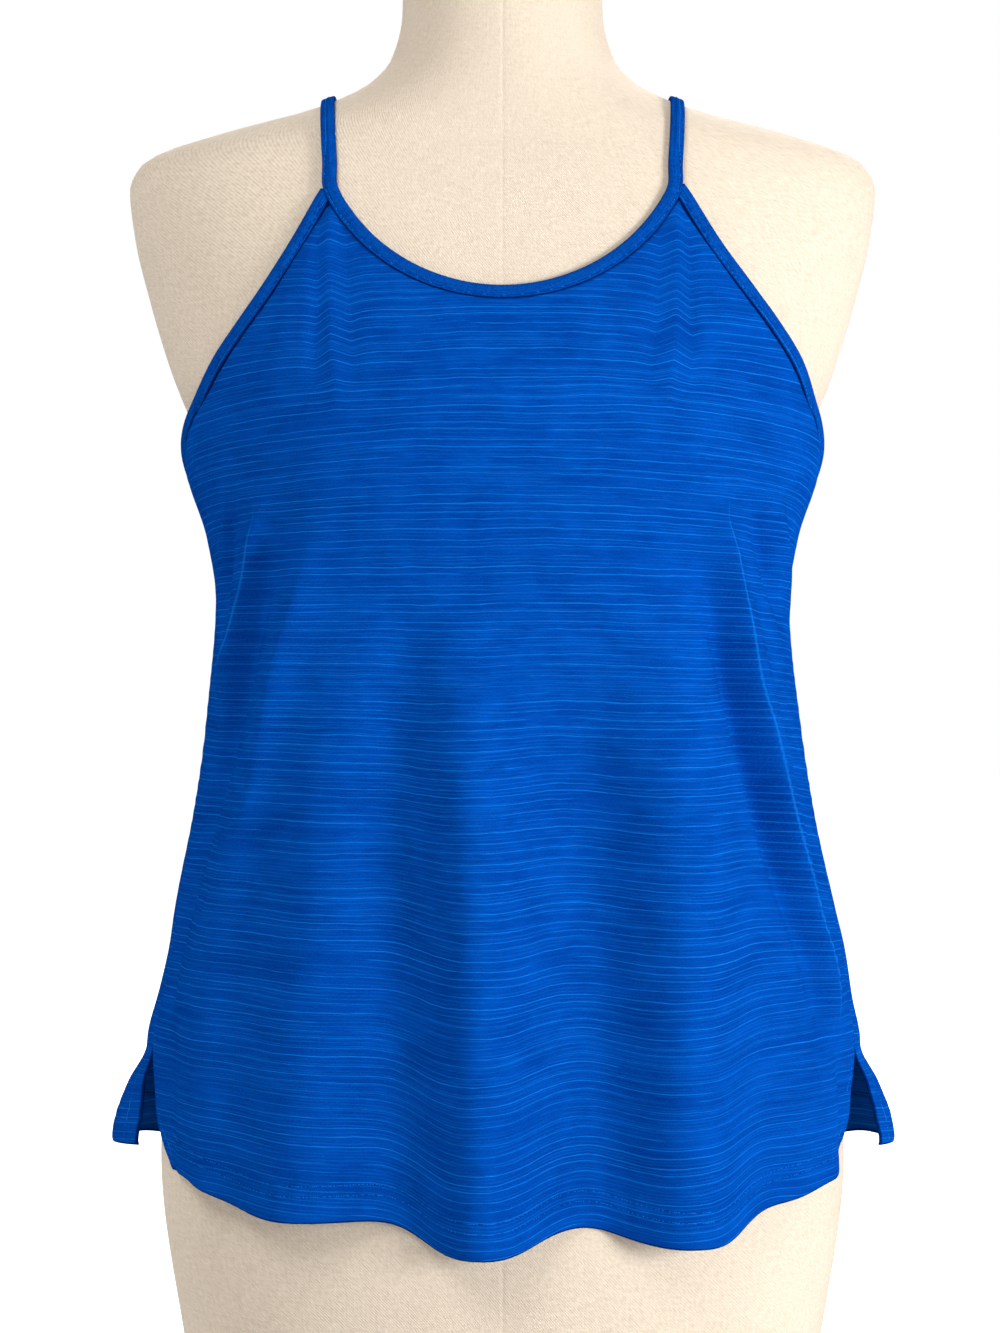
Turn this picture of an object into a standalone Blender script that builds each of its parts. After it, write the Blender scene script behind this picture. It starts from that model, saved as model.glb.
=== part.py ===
"""A running singlet worn on a limbless dress form.

The singlet is cut from two jersey panels. One narrow strip binds the front neckline, runs on as the two
shoulder straps and binds the back neckline, and a strip on each side binds the armhole. Each cut piece is
a closed wall of its own, 0.3 mm from its neighbours at the seams. The form stands on its flat base.

Frame: metres, +Z up, the front faces -Y, and the origin is under the middle of the form's base. A place on
the body is given by its turn, the angle about Z from the centre front (0) through the wearer's left side
(+90 degrees, at +X) to the centre back (180), and by its height.
"""

import math
from typing import NamedTuple

import bmesh
import bpy
import numpy as np

MM = 0.001

# Cloth and bindings.
WALL = 1.2 * MM
EASE = 2.7 * MM  # from the form to the outer face of cloth that lies on it
SEAM_GAP = 0.3 * MM
CUT_GAP = 0.75 * MM  # beside a curved binding, where straight facets cut the corner
SEAM_RADIUS = 170.0 * MM
BINDING_WIDTH = 7.0 * MM
BINDING_SECTION = (  # across from the middle, up from the cloth's outer face
    (-3.5 * MM, -0.6 * MM),
    (-2.6 * MM, 0.4 * MM),
    (0.0, 0.8 * MM),
    (2.6 * MM, 0.4 * MM),
    (3.5 * MM, -0.6 * MM),
    (2.6 * MM, -1.5 * MM),
    (-2.6 * MM, -1.5 * MM),
)

# The necklines are arcs of the binding's middle line, seen from the front and from the back.
FRONT_NECK_RADIUS = 95.5 * MM
FRONT_NECK_CENTRE = 711.7 * MM
FRONT_NECK_HALF_ARC = math.radians(68)
BACK_NECK_RADIUS = 49.5 * MM
BACK_NECK_CENTRE = 670.0 * MM
BACK_NECK_HALF_ARC = math.radians(74)

# The straps climb over the shoulder, which is followed by its angle about a pivot line inside the chest.
STRAP_PIVOT = 620.0 * MM
STRAP_FARTHEST = 160.0 * MM
NECK_STATIONS = 96
ARMHOLE_STATIONS = 46

# Cloth above this height lies on the form; below it, over the blend, it takes its own hang.
REST_HEIGHT = 600.0 * MM
REST_BLEND = 45.0 * MM
STAND_SOFTNESS = 2.0 * MM
PRESS = 1.0 * MM  # how far a trough may push the resting cloth in

# Side seams and vents.
SEAM_REACH = 14.0 * MM  # folds die out this far from a sewn seam
VENT_TOP = 221.0 * MM
VENT_BLEND = 25.0 * MM
CURL_DEPTH = 45.0 * MM
CURL_REACH = 26.0 * MM
CURL_LEFT = 13.0 * MM
CURL_RIGHT = 7.0 * MM

# Hems: the height at the middle, and how far the hem climbs towards the vents.
FRONT_HEM = 138.0 * MM
FRONT_HEM_RISE = 18.0 * MM
BACK_HEM = 133.0 * MM
BACK_HEM_RISE = 34.0 * MM

# Mesh density.
FORM_COLUMNS = 44
LOW_ROWS = 4  # from the hem to the vent's top
HIGH_ROWS = 16  # from the vent's top to the neck and armholes
ROW_CROWDING = 0.87  # below 1, rows crowd towards the chest, where the cloth curves most
FRONT_SIDE_COLUMNS = 22
FRONT_MIDDLE_COLUMNS = 26
BACK_SIDE_COLUMNS = 20
BACK_MIDDLE_COLUMNS = 10

# Sections of the form, in mm. Squareness is the exponent of the section's superellipse, and steps is the
# number of rings up to the next row.
# height, half width, front depth, back depth, squareness, steps
FORM_SECTIONS = (
    (0.0, 160.0, 99.0, 101.0, 2.15, 3),
    (60.0, 171.0, 105.0, 109.0, 2.15, 3),
    (160.0, 184.0, 109.0, 118.0, 2.15, 2),
    (200.0, 183.0, 109.0, 117.0, 2.15, 3),
    (260.0, 171.0, 104.0, 109.0, 2.15, 3),
    (320.0, 151.0, 96.0, 98.0, 2.2, 3),
    (400.0, 129.0, 90.0, 86.0, 2.2, 3),
    (470.0, 139.0, 103.0, 89.0, 2.25, 2),
    (510.0, 152.0, 119.0, 95.0, 2.3, 2),
    (545.0, 164.0, 126.0, 101.0, 2.3, 2),
    (582.0, 178.5, 120.0, 105.0, 2.3, 2),
    (621.0, 190.3, 106.0, 107.0, 2.25, 2),
    (653.0, 198.0, 94.0, 106.0, 2.2, 2),
    (679.0, 201.0, 84.0, 101.0, 2.15, 2),
    (692.0, 195.5, 79.0, 96.0, 2.1, 2),
    (699.0, 184.5, 76.0, 92.0, 2.1, 2),
    (705.0, 166.0, 74.0, 89.0, 2.1, 2),
    (712.0, 141.5, 72.0, 84.0, 2.1, 2),
    (718.5, 115.0, 70.0, 79.0, 2.1, 2),
    (725.5, 93.5, 68.0, 74.0, 2.1, 2),
    (736.0, 72.5, 65.0, 67.0, 2.1, 2),
    (750.0, 60.0, 61.0, 61.0, 2.1, 2),
    (775.0, 54.0, 57.0, 57.0, 2.1, 2),
    (806.0, 53.5, 55.0, 56.0, 2.1, 1),
    (812.0, 52.0, 53.5, 54.5, 2.1, 1),
    (815.0, 47.0, 48.5, 49.5, 2.1, 0),
)

# The hang of the cloth's outer face, in mm. The two panels share it down to the vents.
# height, half width, back panel's extra flare, front depth, back depth, squareness
CLOTH_SECTIONS = (
    (90.0, 181.0, 32.0, 113.5, 127.0, 2.4),
    (151.0, 183.8, 29.0, 113.5, 127.0, 2.4),
    (167.0, 187.0, 25.0, 113.5, 126.5, 2.4),
    (184.0, 190.0, 18.5, 113.5, 126.0, 2.4),
    (200.0, 191.0, 11.0, 113.5, 125.0, 2.35),
    (221.0, 192.0, 0.0, 113.5, 123.0, 2.35),
    (248.0, 186.5, 0.0, 113.5, 120.0, 2.35),
    (297.0, 177.0, 0.0, 114.5, 112.5, 2.35),
    (346.0, 166.8, 0.0, 116.5, 105.5, 2.35),
    (394.0, 159.8, 0.0, 120.0, 101.0, 2.35),
    (459.0, 154.2, 0.0, 126.0, 98.0, 2.35),
    (491.0, 158.8, 0.0, 129.0, 99.5, 2.35),
    (524.0, 169.4, 0.0, 130.0, 102.0, 2.35),
    (545.0, 173.6, 0.0, 128.5, 104.0, 2.35),
    (582.0, 176.5, 0.0, 121.0, 106.0, 2.3),
    (640.0, 190.0, 0.0, 100.0, 106.0, 2.25),
)

# The side seam's turn, and how much further round the back panel's vent edge lies below the vent's top.
# height in mm, seam and front vent edge in degrees, back vent edge's extra turn in degrees
SEAM_TURNS = (
    (100.0, 77.0, 7.5),
    (165.0, 78.5, 5.5),
    (200.0, 79.5, 2.0),
    (221.0, 80.0, 0.0),
    (300.0, 82.0, 0.0),
    (400.0, 87.0, 0.0),
    (500.0, 90.0, 0.0),
)

# Finished edge of an armhole, from the front strap apex under the arm to the back apex. The armhole on the
# +X side sits a little further round at the front.
# turn in degrees, height in mm, further turn on the +X side in degrees
ARMHOLE_EDGE = (
    (48.8, 684.0, 0.3),
    (49.9, 668.0, 0.7),
    (51.8, 645.0, 1.1),
    (54.9, 621.0, 2.0),
    (59.2, 598.0, 2.5),
    (65.0, 578.5, 2.5),
    (72.0, 561.0, 1.6),
    (79.5, 546.5, 0.4),
    (86.0, 536.0, 0.0),
    (92.0, 527.5, 0.0),
    (98.5, 522.5, 0.0),
    (107.0, 524.0, 0.0),
    (118.0, 533.5, 0.0),
    (129.0, 551.0, 0.0),
    (139.0, 575.0, 0.0),
    (146.5, 603.0, 0.0),
    (151.5, 634.0, 0.0),
    (155.0, 664.0, 0.0),
)

# The strap's middle line on the +X side.
# angle about the pivot line in degrees, 90 straight up, and distance from the middle in mm
STRAP_LINE = (
    (36.0, 89.0),
    (50.0, 91.0),
    (65.0, 92.0),
    (90.0, 92.5),
    (112.0, 87.0),
    (134.0, 73.0),
    (150.0, 59.0),
    (159.0, 49.0),
)


class Fold(NamedTuple):
    """A soft ridge, or a trough where its height is negative, that runs down a panel (mm)."""

    x_top: float
    z_top: float
    x_low: float
    z_low: float
    reach: float
    height: float
    left_at_low: float = 1.0  # share of the height that is left at the low end
    hem_drop: float = 0.0
    bow: float = 0.0


FRONT_FOLDS = (
    Fold(-20, 475, -10, 100, 27, 21, hem_drop=18.5),
    Fold(82, 475, 96, 100, 26, 20, hem_drop=14),
    Fold(-84, 500, -112, 100, 25, 9, hem_drop=2),
    Fold(-52, 500, -42, 100, 17, -6),
    Fold(42, 470, 47, 100, 20, -1, hem_drop=3),
    Fold(44, 490, 58, 100, 20, -6),
    Fold(-88, 525, -155, 262, 13, 10, left_at_low=0.5),
    Fold(-110, 515, -178, 262, 9, -11, left_at_low=0.5),
    Fold(-121, 530, -153, 365, 8, 7, left_at_low=0.0),
    Fold(-140, 530, -152, 420, 7, -6, left_at_low=0.0),
    Fold(94, 515, 179, 200, 10, -16, left_at_low=0.3),
    Fold(109, 525, 173, 246, 9, 9, left_at_low=0.6),
    Fold(126, 520, 152, 430, 7, -6, left_at_low=0.0),
    Fold(136, 530, 156, 445, 9, 5, left_at_low=0.0),
    Fold(150, 250, 165, 120, 20, 3, hem_drop=4.5),
    Fold(-92, 672, -104, 555, 6, 2.4, left_at_low=0.0),
    Fold(-98, 660, -119, 555, 6, 2.0, left_at_low=0.0),
    Fold(92, 672, 105, 555, 6, 2.4, left_at_low=0.0),
    Fold(98, 660, 124, 555, 7, 2.2, left_at_low=0.0),
)

BACK_FOLDS = (
    Fold(14, 470, 6, 100, 28, 11, hem_drop=8),
    Fold(-62, 480, -88, 100, 26, 10, hem_drop=9),
    Fold(78, 480, 96, 100, 26, 10, hem_drop=9),
    Fold(-112, 500, -168, 180, 15, 7, hem_drop=2),
    Fold(118, 500, 166, 180, 15, 7, hem_drop=2),
    Fold(-34, 480, -42, 100, 18, -5),
    Fold(44, 480, 52, 100, 18, -5),
)

# Colours as linear red, green and blue, with roughness.
JERSEY_BLUE = ((0.004, 0.083, 0.46), 0.62)
BINDING_BLUE = ((0.003, 0.072, 0.40), 0.58)
FORM_CREAM = ((0.80, 0.70, 0.58), 0.85)


def smooth_step(value):
    """Rise from 0 to 1 as value goes from 0 to 1, level at both ends."""
    t = np.clip(value, 0.0, 1.0)
    return t * t * (3.0 - 2.0 * t)


def slopes(knots, values):
    """Slopes for a cubic through the values that never swings past them."""
    step = np.diff(knots)
    rise = np.diff(values) / step
    inner = np.zeros(len(knots) - 2)
    same = rise[:-1] * rise[1:] > 0.0
    before, after = step[:-1][same], step[1:][same]
    first, second = 2.0 * after + before, after + 2.0 * before
    inner[same] = (first + second) / (first / rise[:-1][same] + second / rise[1:][same])
    return np.concatenate([[rise[0]], inner, [rise[-1]]])


def follow(knots, values, at):
    """Value at each place of a smooth curve through the knots."""
    knots = np.asarray(knots, float)
    values = np.asarray(values, float)
    at = np.clip(at, knots[0], knots[-1])
    slope = slopes(knots, values)
    i = np.clip(np.searchsorted(knots, at, side="right") - 1, 0, len(knots) - 2)
    step = knots[i + 1] - knots[i]
    t = (at - knots[i]) / step
    hold = values[i] * (2 * t**3 - 3 * t**2 + 1) + values[i + 1] * (3 * t**2 - 2 * t**3)
    lean = slope[i] * (t**3 - 2 * t**2 + t) + slope[i + 1] * (t**3 - t**2)
    return hold + lean * step


def column(table, index, height):
    """One column of a table whose first column is the height in mm, at each height in metres."""
    rows = np.array([row[: index + 1] for row in table], float)
    return follow(rows[:, 0], rows[:, index], np.asarray(height, float) / MM)


def out_of(turn):
    """Level unit vector that points out from the middle at each turn."""
    return np.stack([np.sin(turn), -np.cos(turn), np.zeros_like(turn)], axis=-1)


def ring_radius(turn, half_width, depth, square):
    """Distance from the middle to a superellipse section."""
    across = np.abs(np.sin(turn)) / half_width
    along = np.abs(np.cos(turn)) / depth
    return (across**square + along**square) ** (-1.0 / square)


def unit(vectors):
    """The vectors at length 1."""
    return vectors / np.linalg.norm(vectors, axis=-1, keepdims=True)


def form_radius(turn, height):
    """Distance from the middle to the form's skin."""
    front = column(FORM_SECTIONS, 2, height)
    back = column(FORM_SECTIONS, 3, height)
    depth = np.where(np.cos(turn) > 0.0, front, back) * MM
    half_width = column(FORM_SECTIONS, 1, height) * MM
    return ring_radius(turn, half_width, depth, column(FORM_SECTIONS, 4, height))


def form_level(points):
    """Below 1 inside the form, above 1 outside it."""
    turn = np.arctan2(points[..., 0], -points[..., 1])
    reach = np.hypot(points[..., 0], points[..., 1])
    return reach / form_radius(turn, points[..., 2])


def form_normal(points):
    """Outward unit normal of the form's skin near each point."""
    probe = 0.5 * MM
    slope = np.stack(
        [form_level(points + probe * axis) - form_level(points - probe * axis) for axis in np.eye(3)],
        axis=-1,
    )
    return unit(slope)


def rest_on_form(turn, height):
    """Points at the ease from the form's skin that have the given turn and height."""
    base_turn, base_height = turn, height
    for _ in range(4):
        skin = out_of(base_turn) * form_radius(base_turn, base_height)[..., None]
        skin[..., 2] = base_height
        point = skin + EASE * form_normal(skin)
        base_turn = base_turn + turn - np.arctan2(point[..., 0], -point[..., 1])
        base_turn = turn + (base_turn - turn + np.pi) % (2.0 * np.pi) - np.pi
        base_height = base_height + height - point[..., 2]
    return point


def cloth_shape(height, back):
    """Half width, front depth, back depth and squareness of a panel's hang, in metres."""
    half_width = column(CLOTH_SECTIONS, 1, height) * MM
    if back:
        half_width = half_width + column(CLOTH_SECTIONS, 2, height) * MM
    front = column(CLOTH_SECTIONS, 3, height) * MM
    rear = column(CLOTH_SECTIONS, 4, height) * MM
    return half_width, front, rear, column(CLOTH_SECTIONS, 5, height)


def turn_at(x, height, back):
    """Turn at which a panel is x from the middle, from the front or, for the back panel, from behind."""
    half_width, front, rear, square = cloth_shape(height, back)
    share = np.minimum(np.abs(x) / half_width, 0.995)
    depth = rear if back else front
    y = depth * (1.0 - share**square) ** (1.0 / square)
    turn = np.arctan2(share * half_width * np.sign(x), y)
    return np.pi - turn if back else turn


def fold_share(fold, turn, height, back):
    """How much of a fold's push is felt at each place, before its height is applied."""
    down = np.clip((fold.z_top * MM - height) / ((fold.z_top - fold.z_low) * MM), 0.0, 1.0)
    x = (fold.x_top + (fold.x_low - fold.x_top) * down + 4.0 * fold.bow * down * (1.0 - down)) * MM
    centre = turn_at(x, height, back)
    half_width, front, rear, square = cloth_shape(height, back)
    radius = ring_radius(turn, half_width, np.where(np.cos(turn) > 0.0, front, rear), square)
    away = (turn - centre) * radius / (fold.reach * MM)
    grown = smooth_step(down / 0.4)
    faded = 1.0 - (1.0 - fold.left_at_low) * smooth_step((down - 0.5) / 0.5)
    return grown * faded * np.exp(-away * away)


def seam_turn(height, back):
    """Turn of a panel's side edge on the +X side."""
    turn = column(SEAM_TURNS, 1, height)
    if back:
        turn = turn + column(SEAM_TURNS, 2, height)
    return np.radians(turn)


def side_turn(turn):
    """Turn from 0 at the centre front to pi at the centre back, the same on both sides."""
    return np.arccos(np.cos(turn))


def seam_hold(turn, height, radius):
    """Share of a fold's push: none along a sewn side seam, all of it away from the seam."""
    from_seam = np.abs(side_turn(turn) - seam_turn(height, False)) * radius
    sewn = smooth_step(1.0 + (height - VENT_TOP) / VENT_BLEND)
    return 1.0 - sewn * (1.0 - smooth_step(from_seam / SEAM_REACH))


def vent_curl(turn, height, radius):
    """How far the back panel's vent edge has curled in, at each place."""
    side = np.where(np.sin(turn) > 0.0, 1.0, -1.0)
    from_edge = (side_turn(turn) - seam_turn(height, True)) * radius
    near = np.clip(1.0 - from_edge / CURL_REACH, 0.0, 1.0) ** 2
    amount = np.where(side > 0.0, CURL_RIGHT, CURL_LEFT)
    return amount * near * smooth_step((VENT_TOP - height) / CURL_DEPTH)


def cloth(turn, height, back=False):
    """Outer face of the cloth at each turn and height.

    It lies on the form where the form is wide enough to carry it, and hangs clear elsewhere.
    """
    turn = np.asarray(turn, float)
    height = np.asarray(height, float)
    half_width, front, rear, square = cloth_shape(height, back)
    depth = np.where(np.cos(turn) > 0.0, front, rear)
    radius = ring_radius(turn, half_width, depth, square)
    resting = rest_on_form(turn, height)
    clear = radius - np.hypot(resting[..., 0], resting[..., 1])
    stand = 0.5 * (clear + np.sqrt(clear * clear + STAND_SOFTNESS**2))
    stand = stand * smooth_step((REST_HEIGHT - height) / REST_BLEND)
    point = resting + stand[..., None] * out_of(turn)
    x = np.sin(turn) * radius / half_width
    y = -np.cos(turn) * radius / depth
    power = square - 1.0
    level = np.stack(
        [
            np.sign(x) * np.abs(x) ** power / half_width,
            np.sign(y) * np.abs(y) ** power / depth,
            np.zeros_like(x),
        ],
        axis=-1,
    )
    push = np.zeros_like(radius)
    for fold in BACK_FOLDS if back else FRONT_FOLDS:
        push = push + fold.height * MM * fold_share(fold, turn, height, back)
    push = push * seam_hold(turn, height, radius)
    if back:
        push = push - vent_curl(turn, height, radius)
    spare = stand + push + PRESS
    kept = 0.5 * (spare + np.sqrt(spare * spare + PRESS**2)) - PRESS - stand
    push = np.where(push < 0.0, np.maximum(kept, push), push)
    return point + push[..., None] * unit(level)


def cloth_normal(points, turn, height, back=False):
    """Outward unit normal of the cloth at each place."""
    swing = math.radians(0.12)
    rise = 0.5 * MM
    along = cloth(turn + swing, height, back) - cloth(turn - swing, height, back)
    up = cloth(turn, height + rise, back) - cloth(turn, height - rise, back)
    normal = unit(np.cross(along, up))
    outward = np.sum(normal * out_of(np.arctan2(points[..., 0], -points[..., 1])), axis=-1)
    return normal * np.where(outward < 0.0, -1.0, 1.0)[..., None]


def arc_on_front(angles):
    """Middle line of the binding along the front neckline."""
    x = FRONT_NECK_RADIUS * np.sin(angles)
    z = FRONT_NECK_CENTRE - FRONT_NECK_RADIUS * np.cos(angles)
    return cloth(form_turn(x, z, False), z)


def arc_on_back(angles):
    """Middle line of the binding along the back neckline."""
    x = BACK_NECK_RADIUS * np.sin(angles)
    z = BACK_NECK_CENTRE - BACK_NECK_RADIUS * np.cos(angles)
    return cloth(form_turn(x, z, True), z, True)


def form_turn(x, height, back):
    """Turn at which the form is x from the middle, from the front or from behind."""
    half_width = column(FORM_SECTIONS, 1, height) * MM
    depth = column(FORM_SECTIONS, 3 if back else 2, height) * MM
    square = column(FORM_SECTIONS, 4, height)
    y = depth * (1.0 - (np.abs(x) / half_width) ** square) ** (1.0 / square)
    turn = np.arctan2(x, y)
    return np.pi - turn if back else turn


def strap_over_shoulder(count):
    """Middle line of the +X strap, from the front apex over the shoulder to the back apex."""
    rows = np.array(STRAP_LINE)
    angle = np.linspace(rows[0, 0], rows[-1, 0], count)
    x = follow(rows[:, 0], rows[:, 1], angle) * MM
    toward = np.stack([np.zeros(count), -np.cos(np.radians(angle)), np.sin(np.radians(angle))], axis=-1)
    pivot = np.stack([x, np.zeros(count), np.full(count, STRAP_PIVOT)], axis=-1)
    near = np.zeros(count)
    far = np.full(count, STRAP_FARTHEST)
    for _ in range(40):
        middle = (near + far) / 2.0
        inside = form_level(pivot + middle[:, None] * toward) < 1.0
        near = np.where(inside, middle, near)
        far = np.where(inside, far, middle)
    skin = pivot + near[:, None] * toward
    return skin + EASE * form_normal(skin)


def even_points(line, count, closed=False):
    """A line's points again, evenly spaced along it."""
    if closed:
        line = np.vstack([line, line[:1]])
    along = np.concatenate([[0.0], np.cumsum(np.linalg.norm(np.diff(line, axis=0), axis=1))])
    places = np.linspace(0.0, along[-1], count + 1 if closed else count)
    even = np.stack([np.interp(places, along, line[:, i]) for i in range(3)], axis=-1)
    return even[:-1] if closed else even


def soften(line, passes, closed=False):
    """A line with its kinks rounded."""
    for _ in range(passes):
        if closed:
            line = (np.roll(line, 1, axis=0) + 2.0 * line + np.roll(line, -1, axis=0)) / 4.0
        else:
            line = np.vstack([line[:1], (line[:-2] + 2.0 * line[1:-1] + line[2:]) / 4.0, line[-1:]])
    return line


def neck_loop():
    """Middle line of the neck binding and straps, a closed loop that starts at the left front apex."""
    flip = np.array([-1.0, 1.0, 1.0])
    front = arc_on_front(np.linspace(-FRONT_NECK_HALF_ARC, FRONT_NECK_HALF_ARC, 60))
    strap = strap_over_shoulder(70)
    back = arc_on_back(np.linspace(BACK_NECK_HALF_ARC, -BACK_NECK_HALF_ARC, 34))
    loop = np.vstack([front, strap[1:-1], back, (strap * flip)[-2:0:-1]])
    return soften(even_points(loop, 4 * NECK_STATIONS, closed=True), 10, closed=True)


def armhole_edge(side):
    """Points along an armhole's finished edge, for side 1 at +X or -1 at -X."""
    rows = np.array(ARMHOLE_EDGE)
    steps = np.linspace(0.0, len(rows) - 1.0, 180)
    knots = np.arange(len(rows))
    further = rows[:, 2] if side > 0 else 0.0
    turn = np.radians(follow(knots, rows[:, 0] + further, steps)) * side
    height = follow(knots, rows[:, 1], steps) * MM
    front_part = np.abs(turn) < np.pi / 2.0
    points = np.where(front_part[:, None], cloth(turn, height), cloth(turn, height, True))
    return soften(points, 4)


def sideways(line, normals, closed=False):
    """Unit vectors along a line and across it, in the cloth, to the left of its run seen from outside."""
    if closed:
        ahead = np.roll(line, -1, axis=0) - np.roll(line, 1, axis=0)
    else:
        ahead = np.gradient(line, axis=0)
    ahead = unit(ahead)
    return ahead, unit(np.cross(normals, ahead))


def armhole_line(side):
    """Middle line of an armhole binding, half a binding's width from the finished edge."""
    edge = armhole_edge(side)
    normals = form_normal(edge)
    across = sideways(edge, normals)[1]
    downward = np.where(np.sum(across * [0.0, 0.0, 1.0], axis=-1) > 0.0, -1.0, 1.0)
    line = edge + across * downward[:, None] * BINDING_WIDTH / 2.0
    return even_points(line, 180)


def distance_to(points, line):
    """Distance from each point to a line given by close points."""
    start, step = line[:-1], np.diff(line, axis=0)
    away = points[:, None, :] - start[None]
    share = np.sum(away * step, axis=-1) / np.sum(step * step, axis=-1)
    nearest = start[None] + np.clip(share, 0.0, 1.0)[..., None] * step
    return np.min(np.linalg.norm(points[:, None, :] - nearest, axis=-1), axis=1)


def new_object(name, points, faces, finish):
    """Object from points and faces, with a closed outward skin and its own material."""
    mesh = bpy.data.meshes.new(name)
    mesh.from_pydata([tuple(float(value) for value in point) for point in points], [], faces)
    shape = bmesh.new()
    shape.from_mesh(mesh)
    bmesh.ops.recalc_face_normals(shape, faces=shape.faces)
    shape.to_mesh(mesh)
    shape.free()
    mesh.shade_smooth()
    mesh.set_sharp_from_angle(angle=math.radians(50))
    piece = bpy.data.objects.new(name, mesh)
    bpy.context.scene.collection.objects.link(piece)
    colour, roughness = finish
    material = bpy.data.materials.new(name)
    material.use_nodes = True
    shader = material.node_tree.nodes["Principled BSDF"]
    shader.inputs["Base Color"].default_value = (*colour, 1.0)
    shader.inputs["Roughness"].default_value = roughness
    shader.inputs["Metallic"].default_value = 0.0
    mesh.materials.append(material)
    return piece


def ring_faces(rings, size, closed):
    """Quads between neighbouring rings of points, and caps on an open run's two ends."""
    faces = []
    for i in range(rings if closed else rings - 1):
        here, there = i * size, (i + 1) % rings * size
        for j in range(size):
            k = (j + 1) % size
            faces.append((here + j, here + k, there + k, there + j))
    if not closed:
        faces.append(tuple(reversed(range(size))))
        faces.append(tuple(range((rings - 1) * size, rings * size)))
    return faces


def wall_faces(rows, columns):
    """Quads of a wall with an outer and an inner grid of points, and its four rims."""
    faces = []
    under = rows * columns

    def at(i, j):
        return i * columns + j

    for i in range(rows - 1):
        for j in range(columns - 1):
            quad = (at(i, j), at(i, j + 1), at(i + 1, j + 1), at(i + 1, j))
            faces.append(quad)
            faces.append(tuple(under + k for k in reversed(quad)))
    for i in range(rows - 1):
        for j in (0, columns - 1):
            a, b = at(i, j), at(i + 1, j)
            faces.append((a, b, under + b, under + a))
    for j in range(columns - 1):
        for i in (0, rows - 1):
            a, b = at(i, j), at(i, j + 1)
            faces.append((a, b, under + b, under + a))
    return faces


def build_form():
    """The dress form: smooth rings from the flat base to the rounded neck top."""
    heights = []
    for row, upper in zip(FORM_SECTIONS, FORM_SECTIONS[1:]):
        heights.extend(np.linspace(row[0], upper[0], row[5] + 1)[:-1])
    heights.append(FORM_SECTIONS[-1][0])
    turns = np.linspace(0.0, 2.0 * np.pi, FORM_COLUMNS, endpoint=False)
    turn, height = np.meshgrid(turns, np.array(heights) * MM)
    points = out_of(turn) * form_radius(turn, height)[..., None]
    points[..., 2] = height
    faces = ring_faces(len(heights), FORM_COLUMNS, closed=False)
    new_object("dress_form", points.reshape(-1, 3), faces, FORM_CREAM)


def swing_of(points, back):
    """Turn of each point from the middle of its panel."""
    turn = np.arctan2(points[:, 0], -points[:, 1])
    return np.mod(turn, 2.0 * np.pi) - np.pi if back else turn


def top_edge(neck_line, arm_line, back):
    """Neck and armhole cut edges of a half panel at +X, each from the middle outwards, meeting at the apex."""
    if back:
        arm_line = arm_line[::-1]
    neck_swing = np.abs(swing_of(neck_line, back))
    arm_swing = np.abs(swing_of(arm_line, back))
    order = np.argsort(neck_swing)
    neck_line, neck_swing = neck_line[order], neck_swing[order]
    sweep = np.linspace(arm_swing.min(), neck_swing.max(), 4000)
    rank = np.argsort(arm_swing)
    neck_height = np.interp(sweep, neck_swing, neck_line[:, 2])
    arm_height = np.interp(sweep, arm_swing[rank], arm_line[rank, 2])
    apex = sweep[np.argmin(np.abs(neck_height - arm_height))]
    peak = np.array([np.interp(apex, neck_swing, neck_line[:, i]) for i in range(3)])
    neck_part = np.vstack([neck_line[neck_swing < apex], peak])
    outside = arm_line[rank][arm_swing[rank] > apex]
    return neck_part, np.vstack([peak, outside])


def half_top(neck_line, arm_line, back, side_columns, middle_columns):
    """Shares of the way to the side seam, and heights, of the top ends of a half panel's columns."""
    neck_part, arm_part = top_edge(neck_line, arm_line, back)
    widest = np.pi / 2.0
    arm_swing = np.abs(swing_of(arm_part, back))
    last = np.array([np.interp(widest, arm_swing, arm_part[:, i]) for i in range(3)])
    arm_part = np.vstack([arm_part[arm_swing < widest], last])
    middle_half = even_points(neck_part, middle_columns // 2 + 1)
    side_half = even_points(arm_part, side_columns + 1)
    half = np.vstack([middle_half, side_half[1:]])
    shares = np.abs(swing_of(half, back)) / widest
    shares[0], shares[-1] = 0.0, 1.0
    return shares, half[:, 2]


def build_panel(name, back, neck_line, arm_lines, side_columns, middle_columns, hem):
    """A panel whose columns run up the cloth from the hem to the neck and armhole bindings.

    neck_line is the +X half of the neck's cut edge. arm_lines are the cut edges of the armholes that the
    first and the last column reach, both laid at +X. hem gives the hem's height at each share of the way
    from the middle to the side edge.
    """
    first_shares, first_top = half_top(neck_line, arm_lines[0], back, side_columns, middle_columns)
    last_shares, last_top = half_top(neck_line, arm_lines[1], back, side_columns, middle_columns)
    shares = np.concatenate([-first_shares[:0:-1], last_shares])
    top = np.concatenate([first_top[:0:-1], last_top])
    bottom = hem(shares)
    low = np.linspace(0.0, 1.0, LOW_ROWS + 1)[:-1, None]
    high = np.linspace(0.0, 1.0, HIGH_ROWS + 1)[:, None] ** ROW_CROWDING
    height = np.vstack([bottom + (VENT_TOP - bottom) * low, VENT_TOP + (top - VENT_TOP) * high])
    limit = np.abs(np.pi * back - seam_turn(height, back))
    half_gap = SEAM_GAP / 2.0 / SEAM_RADIUS
    turn = np.pi * back + shares[None] * (limit - half_gap)
    outer = cloth(turn, height, back)
    inner = outer - WALL * cloth_normal(outer, turn, height, back)
    grid = np.concatenate([outer.reshape(-1, 3), inner.reshape(-1, 3)])
    new_object(name, grid, wall_faces(*height.shape), JERSEY_BLUE)


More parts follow.
